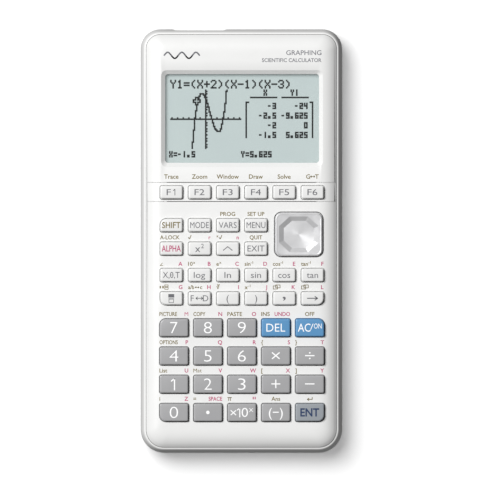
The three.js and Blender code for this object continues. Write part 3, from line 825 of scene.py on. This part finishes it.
def numeral_one(x, y, cap, width):
    """A one with its stem at x and a flag, which the font's own lacks."""
    top = y + cap / 2
    path = [(x - 0.27 * cap, top - 0.24 * cap), (x, top - 0.025 * cap), (x, top - cap)]
    return strokes([path], width, on_key)


def drawn_legend(name, x, y):
    """The legends that aren't plain words: the signs, and those with a numeral one."""
    cap = CAPS.get(name, WHITE_KEY_CAP)

    def letters(text, dx, align="left", dy=0, size=cap, fit=None, bold=0.0):
        return lettering(text, x + dx, y + dy, size, align, on_key, fit, bold=bold)

    def lines(width, *paths):
        return strokes(moved(x, y, *paths), width, on_key)

    if name == "fraction":
        upper = solid_box(x - 0.8, x + 0.8, y + 0.35, y + 1.75, on_key)
        return upper + lines(0.22, [(-1.1, 0), (1.1, 0)], box_path(-0.95, 0.95, -1.75, -0.4))
    if name == "clear":
        shapes = [letters("AC", -4.9, fit=5.2), letters("ON", 4.9, "right", 0.65, cap * SUPER_SCALE, fit=3.2)]
        return shapes + lines(0.3, [(0.4, -0.75), (1.35, 1.55)])
    if name == "convert":
        shapes = [letters("F", -3.65), letters("D", 3.65, "right")]
        return shapes + two_way_arrow(x - 0.05, y, 1.35, 0.3, on_key)
    if name == "power":
        return lines(0.34, [(-1.85, -0.75), (0, 0.75), (1.85, -0.75)])
    if name == "arrow":
        return lines(0.4, [(-2.1, 0), (2.0, 0)], [(1.05, 0.75), (2.1, 0), (1.05, -0.75)])
    if name == "f1":
        return [letters("F", -1.9, fit=1.75)] + numeral_one(x + 1.5, y, cap, 0.3)
    if name == "exponent":
        shapes = [letters("×", -4.75, dy=-0.2, fit=2.5, bold=-0.05)]
        shapes.append(letters("0^x", -0.1, fit=4.8, bold=-0.04))
        return shapes + numeral_one(x - 0.85, y, cap, 0.4)
    return numeral_one(x + 0.25, y, DIGIT_CAP, 0.48)


def key_legend(name):
    text, width, _, _ = KEY_PRINT[name]
    key = Box("key_" + name)
    large = key_material("key_" + name)[1] != "white_key"
    color = LEGEND_INKS.get(name, "white" if large else "dark")
    cap = CAPS.get(name, DIGIT_CAP if large else WHITE_KEY_CAP)
    weight = DIGIT_WEIGHT if large and len(text) == 1 else WEIGHTS.get(name, 0.0)
    if text:
        rise = COMMA_RISE if name == "comma" else 0
        shapes = [lettering(text, key.x, key.y + rise, cap, surface=on_key, fit=width, bold=weight)]
        if name == "xt":
            shapes += strokes(moved(key.x, key.y, [(-0.5, 0), (0.7, 0)]), 0.2, on_key)
    else:
        shapes = drawn_legend(name, key.x, key.y)
    piece("legend_" + name, together(shapes), inks[color], "key_" + name, smooth=0)


def label(text, x, y, align, cap=LABEL_CAP):
    """A label on the case. An M closes up when its strokes are widened, so it keeps the font's own weight."""
    bold = 0.0 if "M" in text else LABEL_BOLD
    return lettering(text, x, y, cap, align, fit=LABEL_WIDTHS.get(text), bold=bold)


def case_labels():
    gold, crimson = [], []
    for name, (_, _, left, right) in KEY_PRINT.items():
        key = Box("key_" + name)
        x0, x1 = key.x0 + KEY_FLANGE_W, key.x1 - KEY_FLANGE_W
        soft = len(name) == 2 and name[0] == "f"
        y = key.y1 - KEY_FLANGE_W + (SOFT_LABEL_RISE if soft else LABEL_RISE)
        if left and (soft or name in CENTRED_ABOVE):
            gold.append(label(left, (x0 + x1) / 2, y, "centre", SOFT_LABEL_CAP if soft else LABEL_CAP))
        elif left:
            gold.append(label(left, x0, y, "left"))
        gold += drawn_label(name, x0, x1, y)
        if right:
            crimson.append(label(right, x1 - 0.1, y, "right"))
        if name == "exponent":
            quotes = [[(x1 - back, y + 0.7), (x1 - back, y - 0.1)] for back in (1.3, 0.5)]
            crimson += strokes(quotes, 0.42, above_face(0))
    piece("labels_gold", together(gold), inks["gold"], smooth=0)
    piece("labels_crimson", together(crimson), inks["crimson"], smooth=0)


def top_marks(steps=60):
    """Plain words at the top right for what the object is, and a drawn wave at the top left."""
    right, left, wave_w, waves = 33.1, -31.9, 14.6, 2.5
    shapes = [lettering("GRAPHING", right, 77.8, 1.9, "right", fit=14.6, bold=0.03)]
    shapes.append(lettering("SCIENTIFIC CALCULATOR", right, 74.7, 1.5, "right", fit=24.6, bold=0.04))
    shares = [i / steps for i in range(steps + 1)]
    wave = [(left + wave_w * s, 76.7 + 1.25 * math.sin(2 * waves * math.pi * s)) for s in shares]
    shapes += strokes([wave], 0.62, above_face(0))
    piece("top_marks", together(shapes), inks["grey"], smooth=0)


for name in KEY_PRINT:
    key_legend(name)
case_labels()
top_marks()

# ---- display
TALL = {
    "Y": "#...# #...# .#.#. ..#.. ..#.. ..#.. ..#..", "X": "#...# #...# .#.#. ..#.. .#.#. #...# #...#",
    "1": "..#.. .##.. ..#.. ..#.. ..#.. ..#.. .###.", "2": ".###. #...# ....# ...#. ..#.. .#... #####",
    "3": ".###. #...# ....# ..##. ....# #...# .###.", "(": "...#. ..#.. .#... .#... .#... ..#.. ...#.",
    ")": ".#... ..#.. ...#. ...#. ...#. ..#.. .#...", "+": "..... ..#.. ..#.. ##### ..#.. ..#.. .....",
    "-": "..... ..... ..... ##### ..... ..... .....", "=": "..... ..... ##### ..... ##### ..... .....",
}
SHORT = {
    "0": "### #.# #.# #.# ###", "1": ".#. .#. .#. .#. .#.", "2": "### ..# ### #.. ###",
    "3": "### ..# ### ..# ###", "4": "#.# #.# ### ..# ..#", "5": "### #.. ### ..# ###",
    "6": "### #.. ### #.# ###", "9": "### #.# ### ..# ###", ".": "... ... ... ##. ##.",
    "-": "... ... ##. ... ...", "=": "... ### ... ### ...", "X": "#.# #.# .#. #.# #.#",
    "Y": "#.# #.# .#. .#. .#.",
}
DOT_W, DOT_H = DOT_PITCH
DOT_SPREAD = 0.1  # how far a lit dot's shade runs out past its cell
DOTS_LEFT = WINDOW_X - 30.15
DOTS_TOP = WINDOW_Y + 15.95
GRAPH = {"left": 1, "right": 63, "top": 8, "bottom": 56, "x0": 32, "y0": 32, "x_unit": 5, "y_unit": 2.6}


def write_dots(dots, text, column, row, font, advance):
    for letter in text:
        for r, line in enumerate(font[letter].split()):
            dots.update((column + c, row + r) for c, mark in enumerate(line) if mark == "#")
        column += advance


def draw_graph(dots):
    """Two ticked axes and the cubic (x + 2)(x - 1)(x - 3), with a hollow cursor at x = -1.5."""
    left, right, top, bottom, x0, y0, x_unit, y_unit = GRAPH.values()
    dots.update((c, y0) for c in range(left, right + 1))
    dots.update((x0, r) for r in range(top, bottom + 1))
    dots.update((x0 + k * x_unit, y0 - 1) for k in range(-6, 7))
    dots.update((x0 + 1, round(y0 - k * y_unit)) for k in range(-9, 10))
    before = None
    for c in range(left, right + 1):
        x = (c - x0) / x_unit
        r = round(y0 - (x + 2) * (x - 1) * (x - 3) * y_unit)
        first, last = (r, r) if before is None else sorted((before, r))
        dots.update((c, k) for k in range(max(first, top), min(last, bottom) + 1))
        before = r
    c0, r0 = round(x0 - 1.5 * x_unit), round(y0 - 5.625 * y_unit)
    for c, r in ((c, r) for c in range(-3, 4) for r in range(-3, 4)):
        far, near = max(abs(c), abs(r)), min(abs(c), abs(r))
        if near == 1 or (far == 3 and near == 0):
            dots.add((c0 + c, r0 + r))
        elif near == 0:
            dots.discard((c0 + c, r0 + r))


def draw_table(dots):
    for left, title, column in ((72, "X", 84), (100, "Y1", 108)):
        dots.update((c, 14) for c in range(left, left + 24))
        write_dots(dots, title, column, 8, SHORT, 4)
    for column, inward in ((68, 1), (127, -1)):
        dots.update((column, r) for r in range(18, 48))
        dots.update((column + inward * k, 18) for k in (1, 2))
    rows = (("-3", "-24"), ("-2.5", "-9.625"), ("-2", "0"), ("-1.5", "5.625"))
    for i, pair in enumerate(rows):
        for text, right in zip(pair, (96, 124)):
            write_dots(dots, text, right - 4 * len(text), 19 + 8 * i, SHORT, 4)


def display():
    box = Box("lcd_panel")
    glass = plate(box.w, box.h, 1.0, 4, WINDOW_X, WINDOW_Y, bevelled(box.z0, box.z1, 0.25))
    piece("lcd_glass", glass, lcd_background, "case", "lcd_panel")
    dots = set()
    write_dots(dots, "Y1=(X+2)(X-1)(X-3)", 1, 0, TALL, 6)
    draw_graph(dots)
    draw_table(dots)
    write_dots(dots, "X=-1.5", 0, 59, SHORT, 4)
    write_dots(dots, "Y=5.625", 64, 59, SHORT, 4)
    shapes = []
    for c, r in sorted(dots):
        if (c - 1, r) in dots:
            continue
        end = c
        while (end + 1, r) in dots:
            end += 1
        x0, x1 = DOTS_LEFT + c * DOT_W - DOT_SPREAD, DOTS_LEFT + (end + 1) * DOT_W + DOT_SPREAD
        y1 = DOTS_TOP - r * DOT_H + DOT_SPREAD
        shapes.append(block(x0, x1, y1 - DOT_H - 2 * DOT_SPREAD, y1, box.z1 - 0.01, box.z1 + 0.02))
    piece("lcd_dots", together(shapes), lcd_ink, smooth=0)


def window():
    lens = risen(lambda grow: window_outline(WINDOW_LAP + grow), bevelled(window_box.z0, window_box.z1, 0.15))
    piece("window_lens", lens, clear_plastic, "case", "display_window")


display()
window()


# ---- rear case
def spline(points, per_span=4):
    """A smooth curve through pairs of numbers, given back as more of them."""
    out = []
    ends = [points[0]] + points + [points[-1]]
    for span in zip(ends, ends[1:], ends[2:], ends[3:]):
        for t in (i / per_span for i in range(per_span)):
            out.append(tuple(
                0.5 * (2 * q + (r - p) * t + (2 * p - 5 * q + 4 * r - s) * t * t
                       + (3 * q - p - 3 * r + s) * t ** 3)
                for p, q, r, s in zip(*span)
            ))
    return out + [points[-1]]


# How far in from the case's edge its surfaces lie, and at what height, from the back up.
OUTER_PROFILE = [
    (4.2, FOOT_H), (3.0, 0.9), (2.0, 1.6), (1.05, 3.0), (0.3, 5.5), (0.0, 9.0), (0.3, 12.5), (1.0, 15.0),
]
RIM_PROFILE = [(1.0, 15.0), (1.2, 15.6), (1.4, 16.05), (1.62, 16.35), (1.86, 16.53), (2.12, RIM_Z)]
INNER_PROFILE = [(5.0, FLOOR_TOP), (3.6, 3.2), (2.4, 6.0), (2.0, 9.0), (2.2, 14.0), (2.28, RIM_Z + OVERLAP)]
BAY_HALF_W, BAY_BOTTOM, BAY_TOP, BAY_CEILING = 22.3, 27.5, 76.0, 13.0
BAY_WALL, BAY_CEILING_T = 1.2, 0.7
cover_box = Box("battery_cover")
COVER_HALF_W = cover_box.x1
COVER_BOTTOM, COVER_TOP = cover_box.y0, 78.75
COVER_Z = (cover_box.z0, cover_box.z0 + 1.6)
COVER_SLIT = 0.2
COVER_LEDGE = 1.7
SHELF_Z = 3.5
TAB_X, TAB_HALF_W, TAB_BACK, TAB_TIP, TAB_Z = 14.0, 3.0, 77.2, cover_box.y1, (2.5, 3.5)
LATCH_HALF_W, LATCH_Y, LATCH_TOP = 3.0, (23.6, 24.6), cover_box.z1
NOTCH_R = 6.5
NOTCH_BOWL = ((1.4, -1), (0.2, FOOT_H), (-0.4, 1.0), (-1.2, 1.32), (-2.5, 1.4))  # past its radius, height
RIBS, RIB_PITCH, RIB_W = 6, 1.3, 0.55
POSTS = [(sx * x, y) for x, y in ((34.5, 78.8), (35.0, 27.0), (34.5, -80.0)) for sx in (-1, 1)]
FEET = [(sx * 31.5, y) for y in (68.0, -72.0) for sx in (-1, 1)]
FOOT_R = 3.5
SCREW_HEAD_R = 2.3
SCREW_SLOT = (1.2, 0.24)  # half sizes
POST_R, POST_TOP = 2.7, 12.1
PORT_FLAT = {"left": -29.0, "right": -5.6, "depth": 0.55, "ramp": 2.2}
usb_box, jack_box, restart_box = Box("usb_socket"), Box("link_jack"), Box("restart_button")
USB_X, USB_Z = usb_box.x, (usb_box.z0 + usb_box.z1) / 2
USB_HALF_W, USB_HALF_H = usb_box.w / 2, (usb_box.z1 - usb_box.z0) / 2
JACK_X, JACK_Z, JACK_R, JACK_BORE, JACK_FACE = -22.5, 9.55, 2.6, 1.3, 84.4
RESTART_X, RESTART_Y = restart_box.x, restart_box.y
RESTART_HOLE_R = 1.2
PLATE_W, PLATE_H, PLATE_Y = 48.0, 30.0, -37.0


def port_dip():
    """A cutter for the shallow flat in the top edge, where the sockets are."""
    edge = LENGTH / 2
    left, right, depth, ramp = PORT_FLAT.values()
    xs = [left - ramp, left, left + ramp * 0.25, left + ramp * 0.75, left + ramp]
    depths = [-depth, 0, 0.12 * depth, 0.88 * depth, depth]
    front = [(x, edge - d) for x, d in zip(xs, depths)]
    front += [(left + right - x, y) for x, y in reversed(front)]
    outline = front + [(right + 2 * ramp, edge + 2), (left - 2 * ramp, edge + 2)]
    return straight(outline, 0, RIM_Z + OVERLAP)


def rear_shell():
    shell = make_object("rear_shell", risen(case_outline, spline(OUTER_PROFILE)[:-1] + RIM_PROFILE))
    cut(shell, risen(case_outline, INNER_PROFILE))
    outer, bay_top = BAY_HALF_W + BAY_WALL, BAY_CEILING + BAY_CEILING_T
    edge = COVER_HALF_W + COVER_SLIT
    low_y, high_y = COVER_BOTTOM - COVER_SLIT, COVER_TOP + COVER_SLIT
    shelf = edge + COVER_LEDGE
    posts = [turned([(POST_R, FLOOR_TOP - 1.1), (POST_R, POST_TOP)], 24, x, y) for x, y in POSTS]
    join(
        shell,
        block(-outer, outer, BAY_BOTTOM - 1, BAY_TOP + 1, FLOOR_TOP - 1, bay_top),
        block(-shelf, shelf, low_y - COVER_LEDGE, high_y + COVER_LEDGE, FLOOR_TOP - 0.9, SHELF_Z),
        together(posts),
    )
    low_z = FLOOR_TOP + 0.1
    pockets = [block(x - 3.6, x + 3.6, BAY_TOP - 2, TAB_TIP + 1.5, low_z, 4.8) for x in (-TAB_X, TAB_X)]
    pockets.append(block(-4, 4, low_y, 26.2, low_z, 6))
    holes = [
        turned([(SCREW_HEAD_R + 0.9, -1), (SCREW_HEAD_R, 1.0), (SCREW_HEAD_R - STEP, 3.0)], 32, x, y)
        for x, y in POSTS
    ]
    holes += [turned([(FOOT_R + 0.45, 0), (FOOT_R + 0.15, 1.1)], 40, x, y) for x, y in FEET]
    hole = [(RESTART_HOLE_R + 1.2, -0.5), (RESTART_HOLE_R, 1.2), (RESTART_HOLE_R - STEP, 3)]
    holes.append(turned(hole, 24, RESTART_X, RESTART_Y))
    holes.append(slab(PLATE_W, PLATE_H, 2.0, 0, PLATE_Y, -1, FOOT_H + 0.2))
    half_w, half_h = USB_HALF_W + GAP, USB_HALF_H + GAP
    mouths = [block(USB_X - half_w, USB_X + half_w, 83, 90, USB_Z - half_h, USB_Z + half_h)]
    jack_mouth = [(JACK_R + 0.2, 83), (JACK_R + 0.2, 86.9), (JACK_R + 0.5, 90)]
    mouths.append(along_y(turned(jack_mouth, 40), JACK_X, JACK_Z))
    cut(
        shell,
        slab(2 * BAY_HALF_W, BAY_TOP - BAY_BOTTOM, 0.6, 0, (BAY_TOP + BAY_BOTTOM) / 2, -1, BAY_CEILING),
        slab(2 * edge, high_y - low_y, 1.8, 0, (high_y + low_y) / 2, -1, 2.5, 6),
        together(pockets),
        turned([(NOTCH_R + past, z) for past, z in NOTCH_BOWL], 48, 0, low_y),
        together(holes),
        port_dip(),
        together(mouths),
    )
    finish_piece(shell, rear_plastic, "case", "rear_case", 30)


def feet_and_screws():
    dome = [(FOOT_R - 0.5, 0.0), (FOOT_R - 0.15, 0.12), (FOOT_R, 0.4), (FOOT_R, 1.05)]
    for i, (x, y) in enumerate(FEET):
        piece(f"foot_{i + 1}", turned(dome, 40, x, y), rubber)
    head = [(1.75, 1.5), (2.05, 1.62), (2.12, 1.9), (2.12, 2.95), (1.1, 2.96), (1.1, 11.8)]
    for i, (x, y) in enumerate(POSTS):
        screw = make_object(f"screw_{i + 1}", turned(head, 32, x, y))
        cut(screw, bar(x, y, *SCREW_SLOT, 1.3, 2.3), bar(x, y, *reversed(SCREW_SLOT), 1.3, 2.3))
        finish_piece(screw, steel)
    foil = slab(PLATE_W - 0.5, PLATE_H - 0.5, 1.8, 0, PLATE_Y, FOOT_H + 0.1, FOOT_H + 0.19)
    piece("rating_plate", foil, plate_foil)


def battery_cover():
    z0, z1 = COVER_Z
    w, h, cy = 2 * COVER_HALF_W, COVER_TOP - COVER_BOTTOM, (COVER_TOP + COVER_BOTTOM) / 2
    edge = [(-0.3, z0), (-0.1, z0 + 0.08), (0, z0 + 0.3), (0, z1)]
    panel = risen(lambda grow: rounded(w + 2 * grow, h + 2 * grow, 1.6 + grow, 6, 0, cy), edge)
    cover = make_object("cover_plate", panel)
    for x in (-TAB_X, TAB_X):
        sides = x - TAB_HALF_W, x + TAB_HALF_W
        join(cover, block(*sides, TAB_BACK, COVER_TOP - 0.1, z1 - 0.2, TAB_Z[1]))
        join(cover, block(*sides, TAB_BACK + 0.1, TAB_TIP, TAB_Z[0], TAB_Z[1] - 0.01))
    join(cover, block(-LATCH_HALF_W, LATCH_HALF_W, *LATCH_Y, z1 - 0.2, LATCH_TOP), latch_hook())
    ribs = [COVER_BOTTOM + 1.6 + RIB_PITCH * i for i in range(RIBS)]
    cut(cover, together([block(-5, 5, y, y + RIB_W, z0 - 1, z0 + 0.35) for y in ribs]))
    stiffeners = (-18, -6, 6, 18)
    low_y, high_y = COVER_BOTTOM + 8, COVER_TOP - 5
    join(cover, together([block(x - 0.4, x + 0.4, low_y, high_y, z1 - 0.1, z1 + 0.1) for x in stiffeners]))
    finish_piece(cover, rear_plastic, "battery_cover", "battery_cover", 18)


def latch_hook():
    y, z = LATCH_Y[0], LATCH_TOP
    wedge = [(y + 0.2, z - 1.4), (y - 0.25, z - 0.95), (y + 0.2, z - 0.2)]
    return loft([[(x, b, c) for b, c in wedge] for x in (-LATCH_HALF_W + 0.3, LATCH_HALF_W - 0.3)])


rear_shell()
feet_and_screws()
battery_cover()


# ---- cells and contacts
CELL_R, CELL_BODY_L, CELL_PITCH, CELL_Z = 5.2, 43.5, 10.9, 7.6
NUB_R, NUB_L, SPRING_R, SPRING_L = 1.9, 1.0, 2.4, 2.6
CELL_FOOT, CELL_HEAD = 28.2, 75.3
WRAP_END = CELL_BODY_L - 12.2  # where the dark wrap meets the copper band
WRAP_PROFILE = [(4.4, 0.35), (CELL_R - 0.25, 0.1), (CELL_R - 0.05, 0.35), (CELL_R, 0.8), (CELL_R, WRAP_END)]
BAND_PROFILE = [
    (CELL_R, WRAP_END + 0.02), (CELL_R, CELL_BODY_L - 0.8), (CELL_R - 0.1, CELL_BODY_L - 0.3),
    (4.3, CELL_BODY_L - 0.1),
]
CAN_PROFILE = [
    (3.9, 0.0), (4.3, 0.12), (4.3, CELL_BODY_L - 0.12), (2.3, CELL_BODY_L), (NUB_R, CELL_BODY_L + 0.1),
    (NUB_R, CELL_BODY_L + NUB_L - 0.2), (NUB_R - 0.25, CELL_BODY_L + NUB_L),
]
PLATE_SPANS = ((0, 1, CELL_HEAD), (2, 3, CELL_HEAD)) + tuple(
    (a, b, CELL_FOOT - 0.4) for a, b in ((0, 0), (1, 2), (3, 3))
)  # the first and last cell that a contact plate reaches, and its y


def wire(path, r, sides=8):
    """A round wire along a path of points."""
    angles = [2 * math.pi * k / sides for k in range(sides)]
    rings = []
    for i, p in enumerate(path):
        a, b = Vector(path[max(i - 1, 0)]), Vector(path[min(i + 1, len(path) - 1)])
        ahead = (b - a).normalized()
        side = ahead.cross(Vector((0, 1, 0.01))).normalized()
        up = side.cross(ahead)
        rings.append([tuple(Vector(p) + r * (math.cos(t) * side - math.sin(t) * up)) for t in angles])
    return loft(rings)


def spring(x, z, y0, y1, r0, r1, turns=4):
    steps = turns * 14
    path = []
    for i in range(steps + 1):
        share, a = i / steps, 2 * math.pi * turns * i / steps
        r = r0 + (r1 - r0) * share
        path.append((x + r * math.cos(a), y0 + (y1 - y0) * share, z + r * math.sin(a)))
    return wire(path, 0.24)


def column_x(i):
    return (i - 1.5) * CELL_PITCH


def cells():
    wraps, bands, cans, springs = [], [], [], []
    for i in range(4):
        x, up = column_x(i), i % 2 == 0
        foot = CELL_FOOT + (SPRING_L if up else NUB_L)
        head = foot + CELL_BODY_L

        def lay(profile):
            points = [(r, foot + d if up else head - d) for r, d in profile]
            return along_y(turned(points if up else points[::-1], 40), x, CELL_Z)

        wraps.append(lay(WRAP_PROFILE))
        bands.append(lay(BAND_PROFILE))
        cans.append(lay(CAN_PROFILE))
        if up:
            springs.append(spring(x, CELL_Z, CELL_FOOT + 0.1, foot - 0.2, 3.0, SPRING_R - 0.3))
        else:
            springs.append(spring(x, CELL_Z, head + 0.2, CELL_HEAD - 0.1, SPRING_R - 0.3, 3.0))
    plates = [
        block(column_x(a) - 3.5, column_x(b) + 3.5, y, y + 0.35, CELL_Z - 3.2, CELL_Z + 2.8)
        for a, b, y in PLATE_SPANS
    ]
    piece("cell_wraps", together(wraps), cell_wrap, "case", "cell_pack", 25)
    piece("cell_bands", together(bands), cell_band, smooth=25)
    piece("cell_cans", together(cans), steel, smooth=25)
    piece("contact_springs", together(springs), steel, smooth=60)
    piece("contact_plates", together(plates), steel)


cells()


# ---- sockets, restart button and rocker
def usb_port():
    x, z, w, h = USB_X, USB_Z, USB_HALF_W, USB_HALF_H
    back, front = usb_box.y0, usb_box.y1
    right = [(w - 1.3, -h), (w - 0.7, -h + 0.9), (w, -h + 1.3), (w, h)]
    nose = [(-w + 1.3, -h)] + right + [(-w, h), (-w, -h + 1.3), (-w + 0.7, -h + 0.9)]

    def section(shrink, y):
        return [(x + a * (1 - shrink / w), y, z + b * (1 - shrink / h)) for a, b in reversed(nose)]

    def across(half_w, y0, y1, z0, z1, dx=0.0):
        return block(x + dx - half_w, x + dx + half_w, back + y0, front - y1, z + z0, z + z1)

    shell = make_object("usb_shell", loft([section(0, back), section(0, front - 0.15), section(0.12, front)]))
    cut(shell, loft([section(0.42, back + 2), section(0.42, front - 0.2), section(0.2, front + 0.5)]))
    join(shell, across(2.4, 1, 1.2, -0.1, 0.8))
    finish_piece(shell, steel, "case", "usb_socket")
    piece("usb_tongue", across(2.5, 2.2, 1.1, -0.5, -0.1), black_plastic)
    pins = [across(0.18, 2.3, 1.4, -0.58, -0.5, 0.8 * k) for k in range(-2, 3)]
    piece("usb_contacts", together(pins), brass)


def jack_port():
    def bored(profile, sides=32):
        return along_y(turned(profile, sides), JACK_X, JACK_Z)

    back, front = jack_box.y0, jack_box.y1
    body = slab(jack_box.w, JACK_FACE - back, 0.5, JACK_X, (JACK_FACE + back) / 2, jack_box.z0, jack_box.z1)
    jack = make_object("jack_body", body)
    join(jack, bored([(JACK_R, JACK_FACE - 1), (JACK_R, front - 0.3), (JACK_R - 0.3, front)], 40))
    cut(jack, bored([(JACK_BORE, back + 1.5), (JACK_BORE, front - 0.5), (JACK_BORE + 0.6, front + 0.1)]))
    finish_piece(jack, black_plastic, "case", "link_jack")
    sleeve = make_object("jack_sleeve", bored([(JACK_BORE - 0.01, y) for y in (80, 86)]))
    cut(sleeve, bored([(JACK_BORE - 0.14, y) for y in (79, 87)]))
    finish_piece(sleeve, steel)


def restart_and_rocker():
    low, high = restart_box.z0, restart_box.z1
    stem = [(0.55, low), (0.8, low + 0.08), (0.9, low + 0.3), (0.9, 2.5)]
    stem += [(1.8, 2.5 + STEP), (1.8, 3.3), (0.9, 3.3 + STEP), (0.9, high)]
    button = turned(stem, 28, RESTART_X, RESTART_Y)
    piece("restart_stem", button, rubber, "restart_button", "restart_button")
    rocker = Box("cursor_rocker")
    profile = [(rocker.w / 2 + grow, z) for grow, z in bevelled(rocker.z0, rocker.z1, 0.15, 0.1)]
    boss = turned(profile, 32, rocker.x, rocker.y)
    piece("rocker_boss", boss, rubber, "cursor_rocker", "cursor_rocker")


usb_port()
jack_port()
restart_and_rocker()


# ---- board, mat and ribbon
# The middle, width, height and thickness of each chip.
CHIPS = ((-8, -10, 14, 14, 1.4), (14, -14, 9, 12, 1.2), (-24, 0, 8, 6, 1.1), (10, 10, 7, 7, 1.0))
LEAD_PITCH = 0.8


def board_parts():
    """The board's chips and small parts, on the side that faces the back."""
    top = Box("main_board").z0
    chips, ends = [], []
    for x, y, w, h, t in CHIPS:
        chips.append(plate(w, h, 0.3, 3, x, y, [(-0.2, top - t), (0, top - t + 0.2), (0, top - 0.2)]))
        for k in range(int(w / LEAD_PITCH)):
            px = x - w / 2 + LEAD_PITCH / 2 + LEAD_PITCH * k
            ends += [bar(px, y + s * (h / 2 + 0.5), 0.15, 0.5, top - 0.25, top - 0.02) for s in (-1, 1)]
    for k in range(14):
        x, y = -30 + 4.4 * k, -28 + 3.0 * (k % 3)
        chips.append(bar(x, y, 0.5, 0.4, top - 0.6, top - 0.02))
        ends += [bar(x + s * 0.75, y, 0.24, 0.42, top - 0.62, top - 0.02) for s in (-1, 1)]
    piece("board_chips", together(chips), black_plastic)
    piece("board_leads", together(ends), brass)


MAT_DOME_H = 0.55
PAD_DOMES = ((7, 0), (-7, 0), (0, 6.4), (0, -6.4))  # from the pad's middle


def key_mat():
    """A rubber sheet with a dimpled dome under each key and four under the pad."""
    box = Box("key_mat")
    sheet_top = box.z1 - MAT_DOME_H
    sheet = plate(box.w, box.h, 1.5, 4, box.x, box.y, bevelled(box.z0, sheet_top, 0.1))
    dome = [(1.79, sheet_top - 0.1), (1.79, sheet_top), (1.6, sheet_top + 0.1), (1.1, box.z1 - 0.12)]
    dome += [(1.0, box.z1), (0.6, box.z1), (0.5, box.z1 - 0.12)]
    middles = [(key.x, key.y) for key in map(Box, KEY_NODES)] + [(PAD_X + x, PAD_Y + y) for x, y in PAD_DOMES]
    shapes = [sheet] + [turned(dome, 20, x, y) for x, y in middles]
    piece("mat_sheet", together(shapes), mat_rubber, "case", "key_mat")


def ribbon(track_w=0.8, tracks=24):
    """A flexible film with raised conductors along it and stiffened ends."""
    box = Box("lcd_ribbon")
    film_top = box.z0 + 0.1
    shapes = [block(box.x0, box.x1, box.y0, box.y1, box.z0, film_top)]
    pitch = (box.w - track_w) / tracks
    y0, y1 = box.y0 + 0.2, box.y1 - 0.2
    for x in (box.x0 + pitch * i for i in range(tracks + 1)):
        shapes.append(block(x + 0.15, x + track_w - 0.15, y0, y1, film_top - 0.02, box.z1 - 0.04))
    for y0, y1 in ((box.y0, box.y0 + 1.6), (box.y1 - 1.6, box.y1)):
        shapes.append(block(box.x0, box.x1, y0, y1, film_top - 0.02, box.z1))
    piece("flex_ribbon", together(shapes), ribbon_film, "case", "lcd_ribbon")


board_parts()
key_mat()
ribbon()
board = frame["nodes"]["main_board"].data
board.materials.clear()
board.materials.append(board_green)

# ---- camera, light and floor
PHOTO_SPAN = 206.6  # what the frame takes in, in millimetres at the key face
LOOK_AT = (3.57, -3.74, FACE_Z)
CAMERA_HEIGHT = 3000


def camera():
    data = bpy.data.cameras.new("camera")
    data.lens = data.sensor_width * CAMERA_HEIGHT / PHOTO_SPAN
    data.clip_end = 50
    obj = bpy.data.objects.new("camera", data)
    obj.location = Vector((LOOK_AT[0], LOOK_AT[1], LOOK_AT[2] + CAMERA_HEIGHT)) * MM
    bpy.context.scene.collection.objects.link(obj)
    bpy.context.scene.camera = obj


def area_light(name, where, size, power, receivers, aim=(0, 0, 0)):
    data = bpy.data.lights.new(name, "AREA")
    data.shape = "RECTANGLE"
    data.size, data.size_y = size
    data.energy = power
    obj = bpy.data.objects.new(name, data)
    obj.location = where
    obj.rotation_euler = (Vector(aim) - Vector(where)).to_track_quat("-Z", "Y").to_euler()
    bpy.context.scene.collection.objects.link(obj)
    obj.light_linking.receiver_collection = receivers


def studio():
    half = 3.0
    corners = [(-half, -half, 0), (half, -half, 0), (half, half, 0), (-half, half, 0)]
    floor = make_object("floor", (corners, [(0, 1, 2, 3)]))
    floor.data.materials.append(Material("paper", srgb(250, 250, 250), 0.9).grain(90, 0.05, 0.2).material)
    floor.visible_diffuse = floor.visible_glossy = False
    lit_from_above = bpy.data.collections.new("lit_from_above")
    lit_from_left = bpy.data.collections.new("lit_from_left")
    for obj in bpy.context.scene.objects:
        if obj.type == "MESH":
            level = obj.name in ("floor", "lcd_glass", "lcd_dots")
            (lit_from_above if level else lit_from_left).objects.link(obj)
    area_light("key_light", (-0.983, 0.688, 1.845), (0.8, 0.8), 55.6, lit_from_left)
    area_light("floor_light", (-0.76, 0.76, 2.0), (1.4, 1.4), 50, lit_from_above)
    area_light("floor_fill", (0, 0, 2.5), (0.12, 0.12), 15.4, lit_from_above)
    world = bpy.data.worlds.new("studio")
    world.use_nodes = True
    background = world.node_tree.nodes["Background"]
    background.inputs["Color"].default_value = (1, 1, 1, 1)
    background.inputs["Strength"].default_value = 0.164
    bpy.context.scene.world = world
    bpy.context.scene.view_settings.view_transform = "Standard"


camera()
studio()
